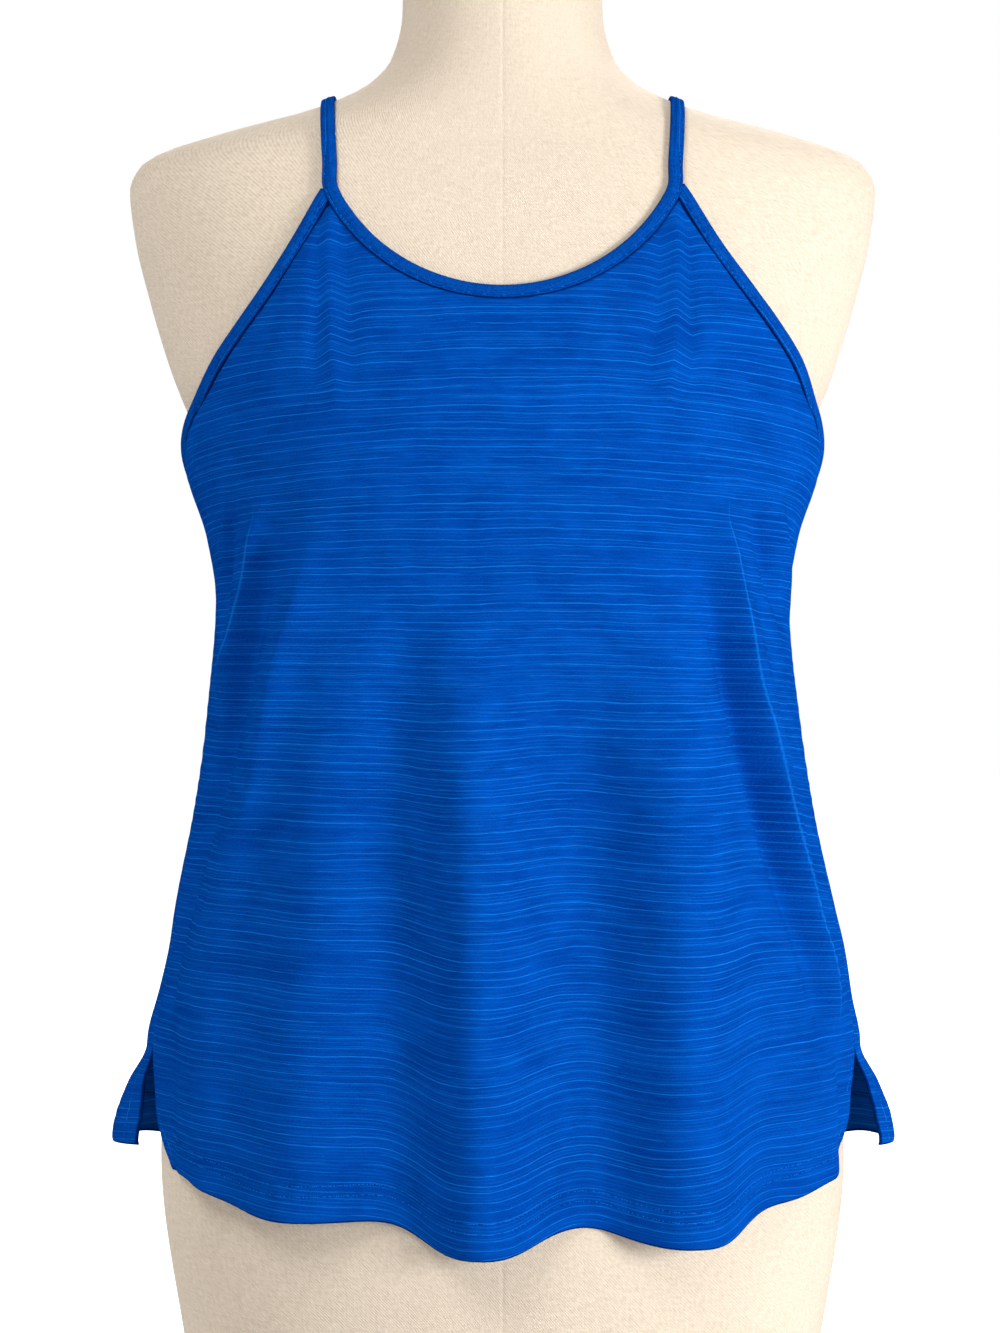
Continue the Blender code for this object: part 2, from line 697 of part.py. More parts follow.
def hem_drop(folds, turn, height, back):
    """How far the folds pull the hem down, at each turn."""
    drop = np.zeros_like(turn)
    for fold in folds:
        drop = drop + fold.hem_drop * MM * fold_share(fold, turn, height, back)
    return drop


def front_hem(shares):
    """Height of the front hem at each column."""
    base = FRONT_HEM + FRONT_HEM_RISE * smooth_step((np.abs(shares) - 0.6) / 0.38)
    return base - hem_drop(FRONT_FOLDS, shares * seam_turn(base, False), base, False)


def back_hem(shares):
    """Height of the back hem at each column."""
    base = BACK_HEM + BACK_HEM_RISE * smooth_step((np.abs(shares) - 0.35) / 0.45)
    turn = np.pi + shares * (np.pi - seam_turn(base, True))
    return base - hem_drop(BACK_FOLDS, turn, base, True)


def sweep_binding(name, line, normals, across, closed, ends=None):
    """A rounded strip swept along its middle line.

    ends holds, for each end of an open strip, how far each point of the section is moved along the line.
    """
    section = np.array(BINDING_SECTION)
    points = line[:, None] + section[None, :, :1] * across[:, None] + section[None, :, 1:] * normals[:, None]
    if ends is not None:
        points[0] += ends[0]
        points[-1] += ends[1]
    faces = ring_faces(len(line), len(section), closed)
    new_object(name, points.reshape(-1, 3), faces, BINDING_BLUE)


def build_neck_binding(loop):
    """The strip along the front neckline, over both shoulders and along the back neckline."""
    line = even_points(loop, NECK_STATIONS, closed=True)
    normals = form_normal(line)
    across = sideways(line, normals, closed=True)[1]
    normals = unit(np.cross(sideways(line, normals, closed=True)[0], across))
    sweep_binding("neck_binding", line, normals, across, closed=True)


def trimmed(line, loop):
    """The part of the armhole binding's line that is clear of the neck binding."""
    blocked = np.nonzero(distance_to(line, loop) < BINDING_WIDTH + CUT_GAP)[0]
    middle = len(line) // 2
    first = max(blocked[blocked < middle], default=-1) + 1
    last = min(blocked[blocked > middle], default=len(line))
    return line[first:last]


def end_shift(point, along, across, loop):
    """Shift of each section point, along the strip, that ends it beside the neck binding."""
    section = np.array(BINDING_SECTION)
    flat = point + section[:, :1] * across
    target = BINDING_WIDTH / 2.0 + CUT_GAP
    near, far = np.zeros(len(section)), np.full(len(section), 2.0 * BINDING_WIDTH)
    for _ in range(40):
        middle = (near + far) / 2.0
        clear = distance_to(flat + middle[:, None] * along, loop) > target
        near = np.where(clear, middle, near)
        far = np.where(clear, far, middle)
    return near[:, None] * along


def build_armhole_binding(name, line, loop):
    """The strip round one armhole, cut off beside the neck binding at both ends."""
    line = even_points(trimmed(line, loop), ARMHOLE_STATIONS)
    normals = form_normal(line)
    ahead, across = sideways(line, normals)
    normals = unit(np.cross(ahead, across))
    ends = (
        end_shift(line[0], -ahead[0], across[0], loop),
        end_shift(line[-1], ahead[-1], across[-1], loop),
    )
    sweep_binding(name, line, normals, across, closed=False, ends=ends)


def cut_edge(line, toward, closed=False):
    """The panel's cut edge beside a binding's middle line, on the side of the given point."""
    normals = form_normal(line)
    across = sideways(line, normals, closed)[1]
    side = np.sign(np.sum(across * (toward - line), axis=-1, keepdims=True))
    return line + across * side * (BINDING_WIDTH / 2.0 + CUT_GAP)


def main():
    """Build every piece of the part."""
    for leftover in list(bpy.data.objects):
        bpy.data.objects.remove(leftover, do_unlink=True)
    loop = neck_loop()
    closed_loop = np.vstack([loop, loop[:1]])
    armholes = [armhole_line(-1), armhole_line(1)]
    build_form()
    build_neck_binding(loop)
    build_armhole_binding("armhole_binding_left", armholes[0], closed_loop)
    build_armhole_binding("armhole_binding_right", armholes[1], closed_loop)

    belly = np.array([0.0, 0.0, 300.0 * MM])
    reach = math.radians(6)
    front_arc = arc_on_front(np.linspace(0.0, FRONT_NECK_HALF_ARC + reach, 60))
    back_arc = arc_on_back(np.linspace(0.0, BACK_NECK_HALF_ARC + reach, 60))
    flip = np.array([-1.0, 1.0, 1.0])
    left_edge = cut_edge(armholes[0], belly) * flip
    right_edge = cut_edge(armholes[1], belly)
    build_panel(
        "front_panel",
        False,
        cut_edge(front_arc, belly),
        (left_edge, right_edge),
        FRONT_SIDE_COLUMNS,
        FRONT_MIDDLE_COLUMNS,
        front_hem,
    )
    build_panel(
        "back_panel",
        True,
        cut_edge(back_arc, belly),
        (right_edge, left_edge),
        BACK_SIDE_COLUMNS,
        BACK_MIDDLE_COLUMNS,
        back_hem,
    )


main()
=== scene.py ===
"""The looks of a running singlet that hangs on a limbless dress form.

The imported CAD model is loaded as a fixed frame, and each of its pieces is replaced by a finer one of the same
place and size: two jersey panels with their folds, turned hems and vents, the folded strips that bind the
neck and armholes and run on as straps, all the sewing, and the woven cover of the form.

Places are in metres, +Z is up and the front faces -Y. A place on the body is given by its turn, the angle
about Z from the centre front (0) through the +X side (+90 degrees) to the centre back (180), and its height.
Left is -X and right is +X in the pieces' names, as seen from the front.
"""

from __future__ import annotations

import logging
import math
from dataclasses import dataclass, field
from enum import Enum

import bmesh
import bpy
import numpy as np
from numpy.typing import NDArray
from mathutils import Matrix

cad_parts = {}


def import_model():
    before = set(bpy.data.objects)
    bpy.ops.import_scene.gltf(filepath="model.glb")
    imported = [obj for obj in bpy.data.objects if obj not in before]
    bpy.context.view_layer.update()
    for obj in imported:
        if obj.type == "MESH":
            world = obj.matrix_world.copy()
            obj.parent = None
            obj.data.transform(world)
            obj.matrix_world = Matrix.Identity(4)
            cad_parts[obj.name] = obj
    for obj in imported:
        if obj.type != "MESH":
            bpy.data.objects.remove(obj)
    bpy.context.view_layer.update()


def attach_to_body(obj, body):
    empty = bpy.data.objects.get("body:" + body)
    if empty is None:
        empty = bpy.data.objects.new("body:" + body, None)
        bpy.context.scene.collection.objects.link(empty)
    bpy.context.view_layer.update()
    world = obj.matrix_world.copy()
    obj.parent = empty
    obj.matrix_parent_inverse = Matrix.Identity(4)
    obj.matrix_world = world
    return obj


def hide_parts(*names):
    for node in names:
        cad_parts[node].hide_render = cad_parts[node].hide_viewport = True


Floats = NDArray[np.float64]
Socket, Material, Object = bpy.types.NodeSocket, bpy.types.Material, bpy.types.Object
Colour = tuple[float, float, float, float]
Place = tuple[float, float, float]
LOG = logging.getLogger("singlet")
MM = 0.001
FLIP = np.array([-1.0, 1.0, 1.0])  # to the other side of the middle
FAR = 1.0  # a length, in metres, past any on the part
HEM_LEVEL = 135.0  # height in mm at which a fold has lowered the hem by all of its hem_drop
CREST_ROUNDING = 0.08  # how blunt the top of a crease is

# Sections of the form, in mm.
# height, half width, front depth, back depth, squareness
FORM_SECTIONS = (
    (0.0, 160.0, 99.0, 101.0, 2.15),
    (60.0, 171.0, 105.0, 109.0, 2.15),
    (160.0, 184.0, 109.0, 118.0, 2.15),
    (200.0, 183.0, 109.0, 117.0, 2.15),
    (260.0, 171.0, 104.0, 109.0, 2.15),
    (320.0, 151.0, 96.0, 98.0, 2.2),
    (400.0, 129.0, 90.0, 86.0, 2.2),
    (470.0, 139.0, 103.0, 89.0, 2.25),
    (510.0, 152.0, 119.0, 95.0, 2.3),
    (545.0, 164.0, 126.0, 101.0, 2.3),
    (582.0, 178.5, 120.0, 105.0, 2.3),
    (621.0, 190.3, 106.0, 107.0, 2.25),
    (653.0, 198.0, 94.0, 106.0, 2.2),
    (679.0, 201.0, 84.0, 101.0, 2.15),
    (692.0, 195.5, 79.0, 96.0, 2.1),
    (699.0, 184.5, 76.0, 92.0, 2.1),
    (705.0, 166.0, 74.0, 89.0, 2.1),
    (712.0, 141.5, 72.0, 84.0, 2.1),
    (718.5, 115.0, 70.0, 79.0, 2.1),
    (725.5, 93.5, 68.0, 74.0, 2.1),
    (736.0, 72.5, 65.0, 67.0, 2.1),
    (750.0, 60.0, 61.0, 61.0, 2.1),
    (775.0, 54.0, 57.0, 57.0, 2.1),
    (806.0, 53.5, 55.0, 56.0, 2.1),
    (812.0, 52.0, 53.5, 54.5, 2.1),
    (815.0, 47.0, 48.5, 49.5, 2.1),
)

# The hang of the cloth's outer face, in mm.
# height, half width, back panel's extra flare, front depth, back depth, squareness
CLOTH_SECTIONS = (
    (90.0, 181.0, 32.0, 113.5, 127.0, 2.4),
    (151.0, 183.8, 29.0, 113.5, 127.0, 2.4),
    (167.0, 187.0, 25.0, 113.5, 126.5, 2.4),
    (184.0, 190.0, 18.5, 113.5, 126.0, 2.4),
    (200.0, 191.0, 11.0, 113.5, 125.0, 2.35),
    (221.0, 192.0, 0.0, 113.5, 123.0, 2.35),
    (248.0, 186.5, 0.0, 113.5, 120.0, 2.35),
    (297.0, 177.0, 0.0, 114.5, 112.5, 2.35),
    (346.0, 166.8, 0.0, 116.5, 105.5, 2.35),
    (394.0, 159.8, 0.0, 120.0, 101.0, 2.35),
    (459.0, 154.2, 0.0, 126.0, 98.0, 2.35),
    (491.0, 158.8, 0.0, 129.0, 99.5, 2.35),
    (524.0, 169.4, 0.0, 130.0, 102.0, 2.35),
    (545.0, 173.6, 0.0, 128.5, 104.0, 2.35),
    (582.0, 176.5, 0.0, 121.0, 106.0, 2.3),
    (640.0, 190.0, 0.0, 100.0, 106.0, 2.25),
)

# height in mm, how far the hang is swayed to +X in mm
SWAY = ((200.0, 0.4), (235.0, 0.8), (272.0, 2.3), (292.0, 1.4), (320.0, 0.8), (370.0, 0.6), (420.0, 0.0))

# height in mm, seam and front vent edge in degrees, back vent edge's extra turn in degrees
SEAM_TURNS = (
    (100.0, 77.0, 7.5),
    (165.0, 78.5, 5.5),
    (200.0, 79.5, 2.0),
    (221.0, 80.0, 0.0),
    (300.0, 82.0, 0.0),
    (400.0, 87.0, 0.0),
    (500.0, 90.0, 0.0),
)

# Finished edge of an armhole from the front strap apex under the arm to the back apex.
# turn in degrees, height in mm, further turn on the +X side in degrees
ARMHOLE_EDGE = (
    (48.8, 684.0, 0.3),
    (49.9, 668.0, 0.7),
    (51.8, 645.0, 1.1),
    (54.9, 621.0, 2.0),
    (59.2, 598.0, 2.5),
    (65.0, 578.5, 2.5),
    (72.0, 561.0, 1.6),
    (79.5, 546.5, 0.4),
    (86.0, 536.0, 0.0),
    (92.0, 527.5, 0.0),
    (98.5, 522.5, 0.0),
    (107.0, 524.0, 0.0),
    (118.0, 533.5, 0.0),
    (129.0, 551.0, 0.0),
    (139.0, 575.0, 0.0),
    (146.5, 603.0, 0.0),
    (151.5, 634.0, 0.0),
    (155.0, 664.0, 0.0),
)

# The strap's middle line on the +X side: angle about the pivot line in degrees, distance from the middle in mm
STRAP_LINE = (
    (36.0, 89.0),
    (50.0, 91.0),
    (65.0, 92.0),
    (90.0, 92.5),
    (112.0, 87.0),
    (134.0, 73.0),
    (150.0, 59.0),
    (159.0, 49.0),
)

# How far the jersey's courses drop from the middle of the front to each side seam, in mm.
# height, drop at the -X side, drop at the +X side
COURSE_DROPS = (
    (120.0, -18.0, -18.0),
    (150.0, -18.0, -18.0),
    (200.0, -13.0, -12.0),
    (245.0, -10.0, -6.0),
    (275.0, -9.0, 4.0),
    (300.0, -9.0, 11.0),
    (330.0, -3.0, 10.0),
    (360.0, -4.0, 8.0),
    (395.0, -1.0, 3.0),
    (430.0, 0.0, 9.0),
    (460.0, 5.0, 9.0),
    (500.0, 12.0, 20.0),
    (550.0, 26.0, 22.0),
    (600.0, 16.0, 16.0),
    (690.0, 10.0, 10.0),
)

# The binding's section, in mm: across the strip from the cloth's side to the open side, and up from the
# cloth's outer face. The first points are the turned edge with its stitched channel.
BOUND_EDGE = (
    (-3.5, -0.55),
    (-3.5, -0.05),
    (-3.34, 0.5),
    (-3.0, 0.74),
    (-2.62, 0.72),
    (-2.36, 0.46),
    (-2.15, 0.34),
    (-1.94, 0.46),
    (-1.6, 0.7),
    (-0.6, 0.9),
    (0.5, 0.95),
    (1.6, 0.84),
    (2.5, 0.5),
    (3.1, 0.14),
    (3.42, -0.25),
    (3.5, -0.62),
    (3.36, -1.02),
    (2.95, -1.38),
    (1.2, -1.5),
    (-1.2, -1.5),
    (-2.95, -1.38),
    (-3.36, -1.05),
)
BOUND_CHANNEL = (-2.15, 0.42)  # where its stitches lie

# The same strip where it is a strap, folded on itself: the stitched channel lies further in and the upper
# layer ends in a low step.
STRAP = (
    (-3.5, -0.6),
    (-3.44, -0.1),
    (-3.25, 0.26),
    (-2.8, 0.5),
    (-1.9, 0.62),
    (-1.15, 0.44),
    (-0.9, 0.32),
    (-0.65, 0.44),
    (-0.2, 0.64),
    (0.35, 0.8),
    (0.72, 0.78),
    (0.9, 0.46),
    (2.2, 0.42),
    (3.0, 0.2),
    (3.4, -0.2),
    (3.5, -0.62),
    (3.36, -1.02),
    (2.95, -1.38),
    (1.2, -1.5),
    (-1.2, -1.5),
    (-2.95, -1.38),
    (-3.36, -1.05),
)
STRAP_CHANNEL = (-0.9, 0.4)


def smooth_step(value: Floats | float) -> Floats:
    """Rise from 0 to 1 as value goes from 0 to 1, level at both ends."""
    t = np.clip(value, 0.0, 1.0)
    return t * t * (3.0 - 2.0 * t)


def peak(distance: Floats, reach: float) -> Floats:
    """1 at no distance, falling away like a bell over the reach."""
    return np.exp(-((distance / reach) ** 2))


def above_zero(value: Floats, softness: float) -> Floats:
    """The value where it is above 0 and 0 elsewhere, with the corner rounded."""
    return 0.5 * (value + np.sqrt(value * value + softness**2))


def closed_loop(line: Floats) -> Floats:
    """A loop's points with the first one again at the end."""
    return np.vstack([line, line[:1]])


def slopes(knots: Floats, values: Floats) -> Floats:
    """Slopes for a cubic through the values that never swings past them."""
    step = np.diff(knots)
    rise = np.diff(values) / step
    inner = np.zeros(len(knots) - 2)
    same = rise[:-1] * rise[1:] > 0.0
    before, after = step[:-1][same], step[1:][same]
    first, second = 2.0 * after + before, after + 2.0 * before
    inner[same] = (first + second) / (first / rise[:-1][same] + second / rise[1:][same])
    return np.concatenate([[rise[0]], inner, [rise[-1]]])


def follow(knots: Floats, values: Floats, at: Floats) -> Floats:
    """Value of a smooth curve through the knots.

    Args:
        knots: Rising places of the known values.
        values: The known values.
        at: The places that are asked for.

    Returns:
        The curve's value at each place, held level beyond both ends.
    """
    knots = np.asarray(knots, float)
    values = np.asarray(values, float)
    at = np.clip(at, knots[0], knots[-1])
    slope = slopes(knots, values)
    i = np.clip(np.searchsorted(knots, at, side="right") - 1, 0, len(knots) - 2)
    step = knots[i + 1] - knots[i]
    t = (at - knots[i]) / step
    hold = values[i] * (2 * t**3 - 3 * t**2 + 1) + values[i + 1] * (3 * t**2 - 2 * t**3)
    lean = slope[i] * (t**3 - 2 * t**2 + t) + slope[i + 1] * (t**3 - t**2)
    return hold + lean * step


def column(table: tuple[tuple[float, ...], ...], index: int, height: Floats) -> Floats:
    """One column of a table whose first column is the height in mm, at each height in metres."""
    rows = np.array([row[: index + 1] for row in table], float)
    return follow(rows[:, 0], rows[:, index], np.asarray(height, float) / MM)


def out_of(turn: Floats) -> Floats:
    """Level unit vector that points out from the middle at each turn."""
    return np.stack([np.sin(turn), -np.cos(turn), np.zeros_like(turn)], axis=-1)


def unit(vectors: Floats) -> Floats:
    """The vectors at length 1."""
    return vectors / np.maximum(np.linalg.norm(vectors, axis=-1, keepdims=True), 1e-12)


def ring_radius(turn: Floats, half_width: Floats, depth: Floats, square: Floats) -> Floats:
    """Distance from the middle to a superellipse section at each turn."""
    across = np.abs(np.sin(turn)) / half_width
    along = np.abs(np.cos(turn)) / depth
    return (across**square + along**square) ** (-1.0 / square)


def even_points(line: Floats, count: int, closed: bool = False) -> Floats:
    """A line's points again, evenly spaced along it."""
    if closed:
        line = closed_loop(line)
    along = np.concatenate([[0.0], np.cumsum(np.linalg.norm(np.diff(line, axis=0), axis=1))])
    places = np.linspace(0.0, along[-1], count + 1 if closed else count)
    even = np.stack([np.interp(places, along, line[:, i]) for i in range(line.shape[1])], axis=-1)
    return even[:-1] if closed else even


def soften(line: Floats, passes: int, closed: bool = False) -> Floats:
    """A line with its kinks rounded."""
    for _ in range(passes):
        if closed:
            line = (np.roll(line, 1, axis=0) + 2.0 * line + np.roll(line, -1, axis=0)) / 4.0
        else:
            line = np.vstack([line[:1], (line[:-2] + 2.0 * line[1:-1] + line[2:]) / 4.0, line[-1:]])
    return line


def length_of(line: Floats) -> float:
    """Length of a line of points."""
    return float(np.linalg.norm(np.diff(line, axis=0), axis=1).sum())


def distance_to(points: Floats, line: Floats) -> Floats:
    """Distance from each point to a line given by close points.

    Args:
        points: The points, one in each row.
        line: The line's points in order.

    Returns:
        One distance for each point.
    """
    start, step = line[:-1], np.diff(line, axis=0)
    size = np.sum(step * step, axis=-1)
    near = np.empty(len(points))
    for first in range(0, len(points), 4000):
        away = points[first : first + 4000, None, :] - start[None]
        share = np.clip(np.sum(away * step, axis=-1) / size, 0.0, 1.0)
        rest = away - share[..., None] * step
        near[first : first + 4000] = np.sqrt(np.min(np.sum(rest * rest, axis=-1), axis=1))
    return near


def sideways(line: Floats, normals: Floats, closed: bool = False) -> tuple[Floats, Floats]:
    """Unit vectors along a line, and across it in the cloth, to the left of its run seen from outside."""
    if closed:
        ahead = np.roll(line, -1, axis=0) - np.roll(line, 1, axis=0)
    else:
        ahead = np.gradient(line, axis=0)
    ahead = unit(ahead)
    return ahead, unit(np.cross(normals, ahead))


class Side(Enum):
    """The two halves of the body."""

    FRONT = "front"
    BACK = "back"


@dataclass(frozen=True)
class Fold:
    """A soft ridge, or a trough where its height is negative, that runs down a panel (mm)."""

    x_top: float
    z_top: float
    x_low: float
    z_low: float
    reach: float
    height: float
    left_at_low: float = 1.0
    hem_drop: float = 0.0
    hem_spread: float = 1.19  # how far the hem's dip reaches, as a share of reach


@dataclass(frozen=True)
class Crease:
    """A narrow ridge or trough with its own slope on each side.

    path holds the turn in degrees and the height in mm of its points, from the top down. The reaches are in
    mm, towards smaller and towards larger turns. lift is how far it draws the courses up, in mm.
    """

    path: tuple[tuple[float, float], ...]
    height: float
    before: float
    after: float
    fade_top: float = 25.0
    fade_low: float = 25.0
    lift: float = 0.0

    def off_line(self, turn: Floats, height: Floats, radius: Floats) -> tuple[Floats, Floats]:
        """Distance from the crease's line in mm, below 0 at smaller turns, and its strength along the line."""
        rows = np.array(self.path[::-1], float)
        high = height / MM
        centre = np.radians(follow(rows[:, 1], rows[:, 0], high))
        low, top = rows[0, 1], rows[-1, 1]
        ends = smooth_step((top + self.fade_top - high) / (2.0 * self.fade_top)) * smooth_step(
            (high - low + self.fade_low) / (2.0 * self.fade_low)
        )
        return (turn - centre) * radius / MM, ends

    def share(self, turn: Floats, height: Floats, radius: Floats) -> Floats:
        """How much of the crease is felt at each place, from 0 to 1."""
        away, ends = self.off_line(turn, height, radius)
        reach = np.where(away < 0.0, self.before, self.after)
        return ends * np.exp(math.sqrt(CREST_ROUNDING) - np.sqrt((away / reach) ** 2 + CREST_ROUNDING))


FRONT_FOLDS = (
    Fold(-20, 475, -11, 100, 26, 20, hem_drop=18.5, hem_spread=1.38),
    Fold(82, 475, 96, 100, 26, 20, hem_drop=14),
    Fold(-84, 500, -112, 100, 25, 9, hem_drop=2),
    Fold(-52, 500, -42, 100, 17, -6),
    Fold(42, 470, 47, 100, 20, -1, hem_drop=3),
    Fold(43, 490, 56, 100, 23, -5),
    Fold(-88, 525, -155, 262, 13, 10, left_at_low=0.5),
    Fold(-110, 515, -178, 262, 9, -8, left_at_low=0.5),
    Fold(-121, 530, -153, 365, 8, 7, left_at_low=0.0),
    Fold(-140, 530, -152, 420, 7, -6, left_at_low=0.0),
    Fold(94, 515, 179, 200, 10, -16, left_at_low=0.3),
    Fold(109, 525, 173, 246, 9, 7, left_at_low=0.6),
    Fold(126, 520, 152, 430, 7, -6, left_at_low=0.0),
    Fold(136, 530, 156, 445, 9, 5, left_at_low=0.0),
    Fold(150, 250, 165, 120, 20, 3, hem_drop=4.5),
    Fold(-92, 672, -104, 555, 6, 2.4, left_at_low=0.0),
    Fold(-98, 660, -119, 555, 6, 2.0, left_at_low=0.0),
    Fold(92, 672, 105, 555, 6, 2.4, left_at_low=0.0),
    Fold(98, 660, 124, 555, 7, 2.2, left_at_low=0.0),
)

BACK_FOLDS = (
    Fold(14, 470, 6, 100, 28, 11, hem_drop=8),
    Fold(-62, 480, -88, 100, 26, 10, hem_drop=9),
    Fold(78, 480, 96, 100, 26, 10, hem_drop=9),
    Fold(-112, 500, -168, 180, 15, 7, hem_drop=2),
    Fold(118, 500, 166, 180, 15, 7, hem_drop=2),
    Fold(-34, 480, -42, 100, 18, -5),
    Fold(44, 480, 52, 100, 18, -5),
)

# turn in degrees and height in mm of the long creases that sweep from the bust down each side
LEFT_SWEEP = (
    *((-43.1, 486), (-46.0, 453), (-49.4, 428), (-51.8, 404), (-54.2, 379), (-55.9, 359)),
    *((-58.8, 340), (-62.4, 320), (-67.7, 291), (-71.5, 261), (-75.5, 240)),
)
RIGHT_SWEEP = (
    *((49.0, 498), (52.0, 475), (54.7, 454), (59.2, 413), (62.1, 391)),
    *((65.5, 358), (69.1, 314), (70.3, 293), (71.5, 276), (73.4, 248)),
)

FRONT_CREASES = (
    Crease(((-65.0, 504), (-68.3, 491), (-71.4, 484)), 3.4, 2.6, 6.0, 12, 14),
    Crease(((-54.1, 499), (-56.1, 482), (-60.4, 457), (-65.3, 430), (-72.6, 410)), 4.6, 2.6, 9.0, 14, 14),
    Crease(LEFT_SWEEP, 2.2, 4.0, 10.0, 30, 20),
    Crease(RIGHT_SWEEP, 5.4, 9.0, 2.6, 20, 20),
    Crease(((59.0, 501), (64.5, 481), (71.0, 466)), 2.4, 5.0, 3.4, 12, 14),
    Crease(((-46.2, 668), (-45.5, 657), (-39.6, 601), (-36.5, 566)), 1.6, 4.0, 4.0, 8, 25, lift=3.0),
    Crease(((-48.0, 668), (-47.0, 652), (-42.5, 602), (-41.0, 575)), -1.5, 3.5, 3.5, 8, 20, lift=-3.0),
    Crease(((-43.0, 662), (-42.0, 652), (-35.7, 601), (-33.0, 575)), -1.4, 4.0, 4.0, 8, 20, lift=-2.5),
    Crease(((46.4, 668), (45.7, 657), (39.8, 601), (36.5, 566)), 1.6, 4.0, 4.0, 8, 25, lift=3.0),
    Crease(((48.2, 668), (47.3, 652), (43.0, 602), (41.5, 575)), -1.5, 3.5, 3.5, 8, 20, lift=-3.0),
    Crease(((43.0, 662), (42.0, 652), (36.0, 601), (33.0, 575)), -1.4, 4.0, 4.0, 8, 20, lift=-2.5),
)

# which of the front creases have sharp crests, along which a highlight is painted
LEFT_CREST, RIGHT_CREST = 1, 3

BACK_CREASES = (
    Crease(((112.0, 492), (106.0, 440), (101.0, 380)), 1.8, 5.0, 3.0, 20, 25),
    Crease(((119.0, 486), (113.0, 430), (108.0, 372)), -1.6, 6.0, 6.0, 20, 25),
    Crease(((247.0, 490), (254.0, 436), (259.0, 372)), 1.8, 3.0, 5.0, 20, 25),
    Crease(((240.0, 484), (247.0, 428), (252.0, 366)), -1.6, 6.0, 6.0, 20, 25),
    Crease(((153.0, 640), (149.5, 600), (146.0, 560)), 1.4, 4.0, 4.0, 10, 25, lift=2.5),
    Crease(((157.0, 636), (154.0, 596), (151.0, 562)), -1.3, 4.0, 4.0, 10, 25, lift=-2.0),
    Crease(((207.0, 640), (210.5, 600), (214.0, 560)), 1.4, 4.0, 4.0, 10, 25, lift=2.5),
    Crease(((203.0, 636), (206.0, 596), (209.0, 562)), -1.3, 4.0, 4.0, 10, 25, lift=-2.0),
)


@dataclass(frozen=True)
class BodyForm:
    """The shape of the dress form, and of cloth that lies on it."""

    ease: float = 2.7 * MM

    def radius(self, turn: Floats, height: Floats) -> Floats:
        """Distance from the middle to the form's skin."""
        front = column(FORM_SECTIONS, 2, height)
        back = column(FORM_SECTIONS, 3, height)
        depth = np.where(np.cos(turn) > 0.0, front, back) * MM
        half_width = column(FORM_SECTIONS, 1, height) * MM
        return ring_radius(turn, half_width, depth, column(FORM_SECTIONS, 4, height))

    def level(self, points: Floats) -> Floats:
        """Below 1 inside the form, above 1 outside it."""
        turn = np.arctan2(points[..., 0], -points[..., 1])
        reach = np.hypot(points[..., 0], points[..., 1])
        return reach / self.radius(turn, points[..., 2])

    def normal(self, points: Floats) -> Floats:
        """Outward unit normal of the form's skin near each point."""
        probe = 0.5 * MM
        slope = np.stack(
            [self.level(points + probe * axis) - self.level(points - probe * axis) for axis in np.eye(3)],
            axis=-1,
        )
        return unit(slope)

    def rest(self, turn: Floats, height: Floats) -> Floats:
        """Points at the ease from the form's skin that have the given turn and height."""
        base_turn, base_height = turn, height
        point = np.zeros((*np.shape(turn), 3))
        for _ in range(4):
            skin = out_of(base_turn) * self.radius(base_turn, base_height)[..., None]
            skin[..., 2] = base_height
            point = skin + self.ease * self.normal(skin)
            base_turn = base_turn + turn - np.arctan2(point[..., 0], -point[..., 1])
            base_turn = turn + (base_turn - turn + np.pi) % (2.0 * np.pi) - np.pi
            base_height = base_height + height - point[..., 2]
        return point

    def turn_at(self, x: Floats, height: Floats, side: Side) -> Floats:
        """Turn at which the form is x from the middle, from the front or from behind."""
        back = side is Side.BACK
        half_width = column(FORM_SECTIONS, 1, height) * MM
        depth = column(FORM_SECTIONS, 3 if back else 2, height) * MM
        square = column(FORM_SECTIONS, 4, height)
        y = depth * (1.0 - (np.abs(x) / half_width) ** square) ** (1.0 / square)
        turn = np.arctan2(x, y)
        return np.pi - turn if back else turn


